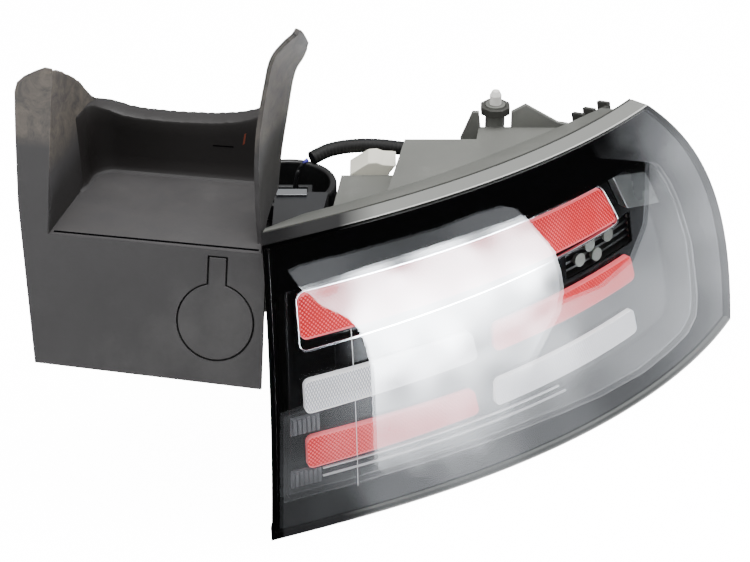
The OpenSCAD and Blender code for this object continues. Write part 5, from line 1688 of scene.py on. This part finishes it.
class TAIL_OT_stage(bpy.types.Operator):
    """Pale floor, soft studio light and the camera"""

    bl_idname = "tail.stage"
    bl_label = "Studio"

    def execute(self, context):
        s = settings("tail_studio")
        floor_z = CAD_BOX[0][2] - FLOOR_GAP
        matt = ("ShaderNodeBsdfDiffuse", {"Color": linear(s.floor)})
        # A matt, near-white floor that lights the part from below
        pale, t, out = material("Pale floor")
        t.links.new(add(t, *matt).outputs[0], out.inputs[0])
        # The blown-out white that stands round the part in the picture
        seen = glowing("Overexposed floor", (1, 1, 1, 1), s.floor_glow, matt)
        # The camera sees the upper, overexposed floor, and the lower one only lights the part
        for name, mat, z, rays in (
            ("seen_floor", seen, floor_z, ("diffuse", "shadow")),
            ("floor", pale, floor_z - 0.001, ("camera",)),
        ):
            corners = [(x * FLOOR_HALF, y * FLOOR_HALF, z) for x, y in ((-1, -1), (1, -1), (1, 1), (-1, 1))]
            hide_from(paint(new_object(name, corners, [(0, 1, 2, 3)]), mat), "glossy", *rays)

        world = bpy.data.worlds.new("Studio")
        context.scene.world = world
        world.use_nodes = True
        wt = world.node_tree
        wt.nodes.clear()
        up = part_of(wt, add(wt, "ShaderNodeTexCoord").outputs["Generated"], 2)
        back = add(wt, "ShaderNodeBackground", {0: ramp(wt, span(wt, up, -1.0, 1.0), SKY), 1: 0.8})
        wt.links.new(back.outputs[0], add(wt, "ShaderNodeOutputWorld").inputs[0])

        for name, (place, aim, size, power) in LIGHTS.items():
            light = bpy.data.lights.new(name, "AREA")
            light.shape = "RECTANGLE"
            light.size, light.size_y = size
            light.energy = power or s.overhead
            lamp = linked(name, light)
            lamp.location = place
            lamp.rotation_euler = (Vector(aim) - Vector(place)).to_track_quat("-Z", "Y").to_euler()

        camera = bpy.data.cameras.new("Camera")
        camera.lens = FOCAL
        camera.sensor_width = SENSOR
        eye = linked("Camera", camera)
        eye.location = EYE
        eye.rotation_euler = (math.radians(TILT), 0, 0)
        context.scene.camera = eye

        mirror = Mirror(eye, LampShape(settings("tail_lens")), floor_z)
        for name, card in CARDS.items():
            mirrored_card(name, card, mirror, linear(s.card_tint))
        return {"FINISHED"}


class TAIL_PT_panel(bpy.types.Panel):
    """Lists the settings, and a button for each piece"""

    bl_idname = "TAIL_PT_panel"
    bl_label = "Tail light cluster"
    bl_space_type = "VIEW_3D"
    bl_region_type = "UI"
    bl_category = "Tail light"

    def draw(self, context):
        for key in GROUPS:
            box = self.layout.box()
            values = settings(key)
            for prop in values.bl_rna.properties:
                if prop.identifier not in ("rna_type", "name"):
                    box.prop(values, prop.identifier)
        for step in STEPS:
            self.layout.operator(step.bl_idname)


STEPS = [
    TAIL_OT_stage,
    TAIL_OT_lens,
    TAIL_OT_border,
    TAIL_OT_rows,
    TAIL_OT_bezel,
    TAIL_OT_kept,
    TAIL_OT_trim,
    TAIL_OT_leds,
    TAIL_OT_fasteners,
    TAIL_OT_sleeve,
]
CLASSES = list(GROUPS.values()) + STEPS + [TAIL_PT_panel]


def register():
    for cls in CLASSES:
        bpy.utils.register_class(cls)
    for key, cls in GROUPS.items():
        setattr(bpy.types.Scene, key, PointerProperty(type=cls))


def unregister():
    for key in GROUPS:
        delattr(bpy.types.Scene, key)
    for cls in reversed(CLASSES):
        bpy.utils.unregister_class(cls)


def main():
    """Builds the stage and the pieces in order."""
    register()
    MATERIALS.update(make_materials())
    for step in STEPS:
        family, call = step.bl_idname.split(".")
        getattr(getattr(bpy.ops, family), call)()


if __name__ == "__main__":
    main()
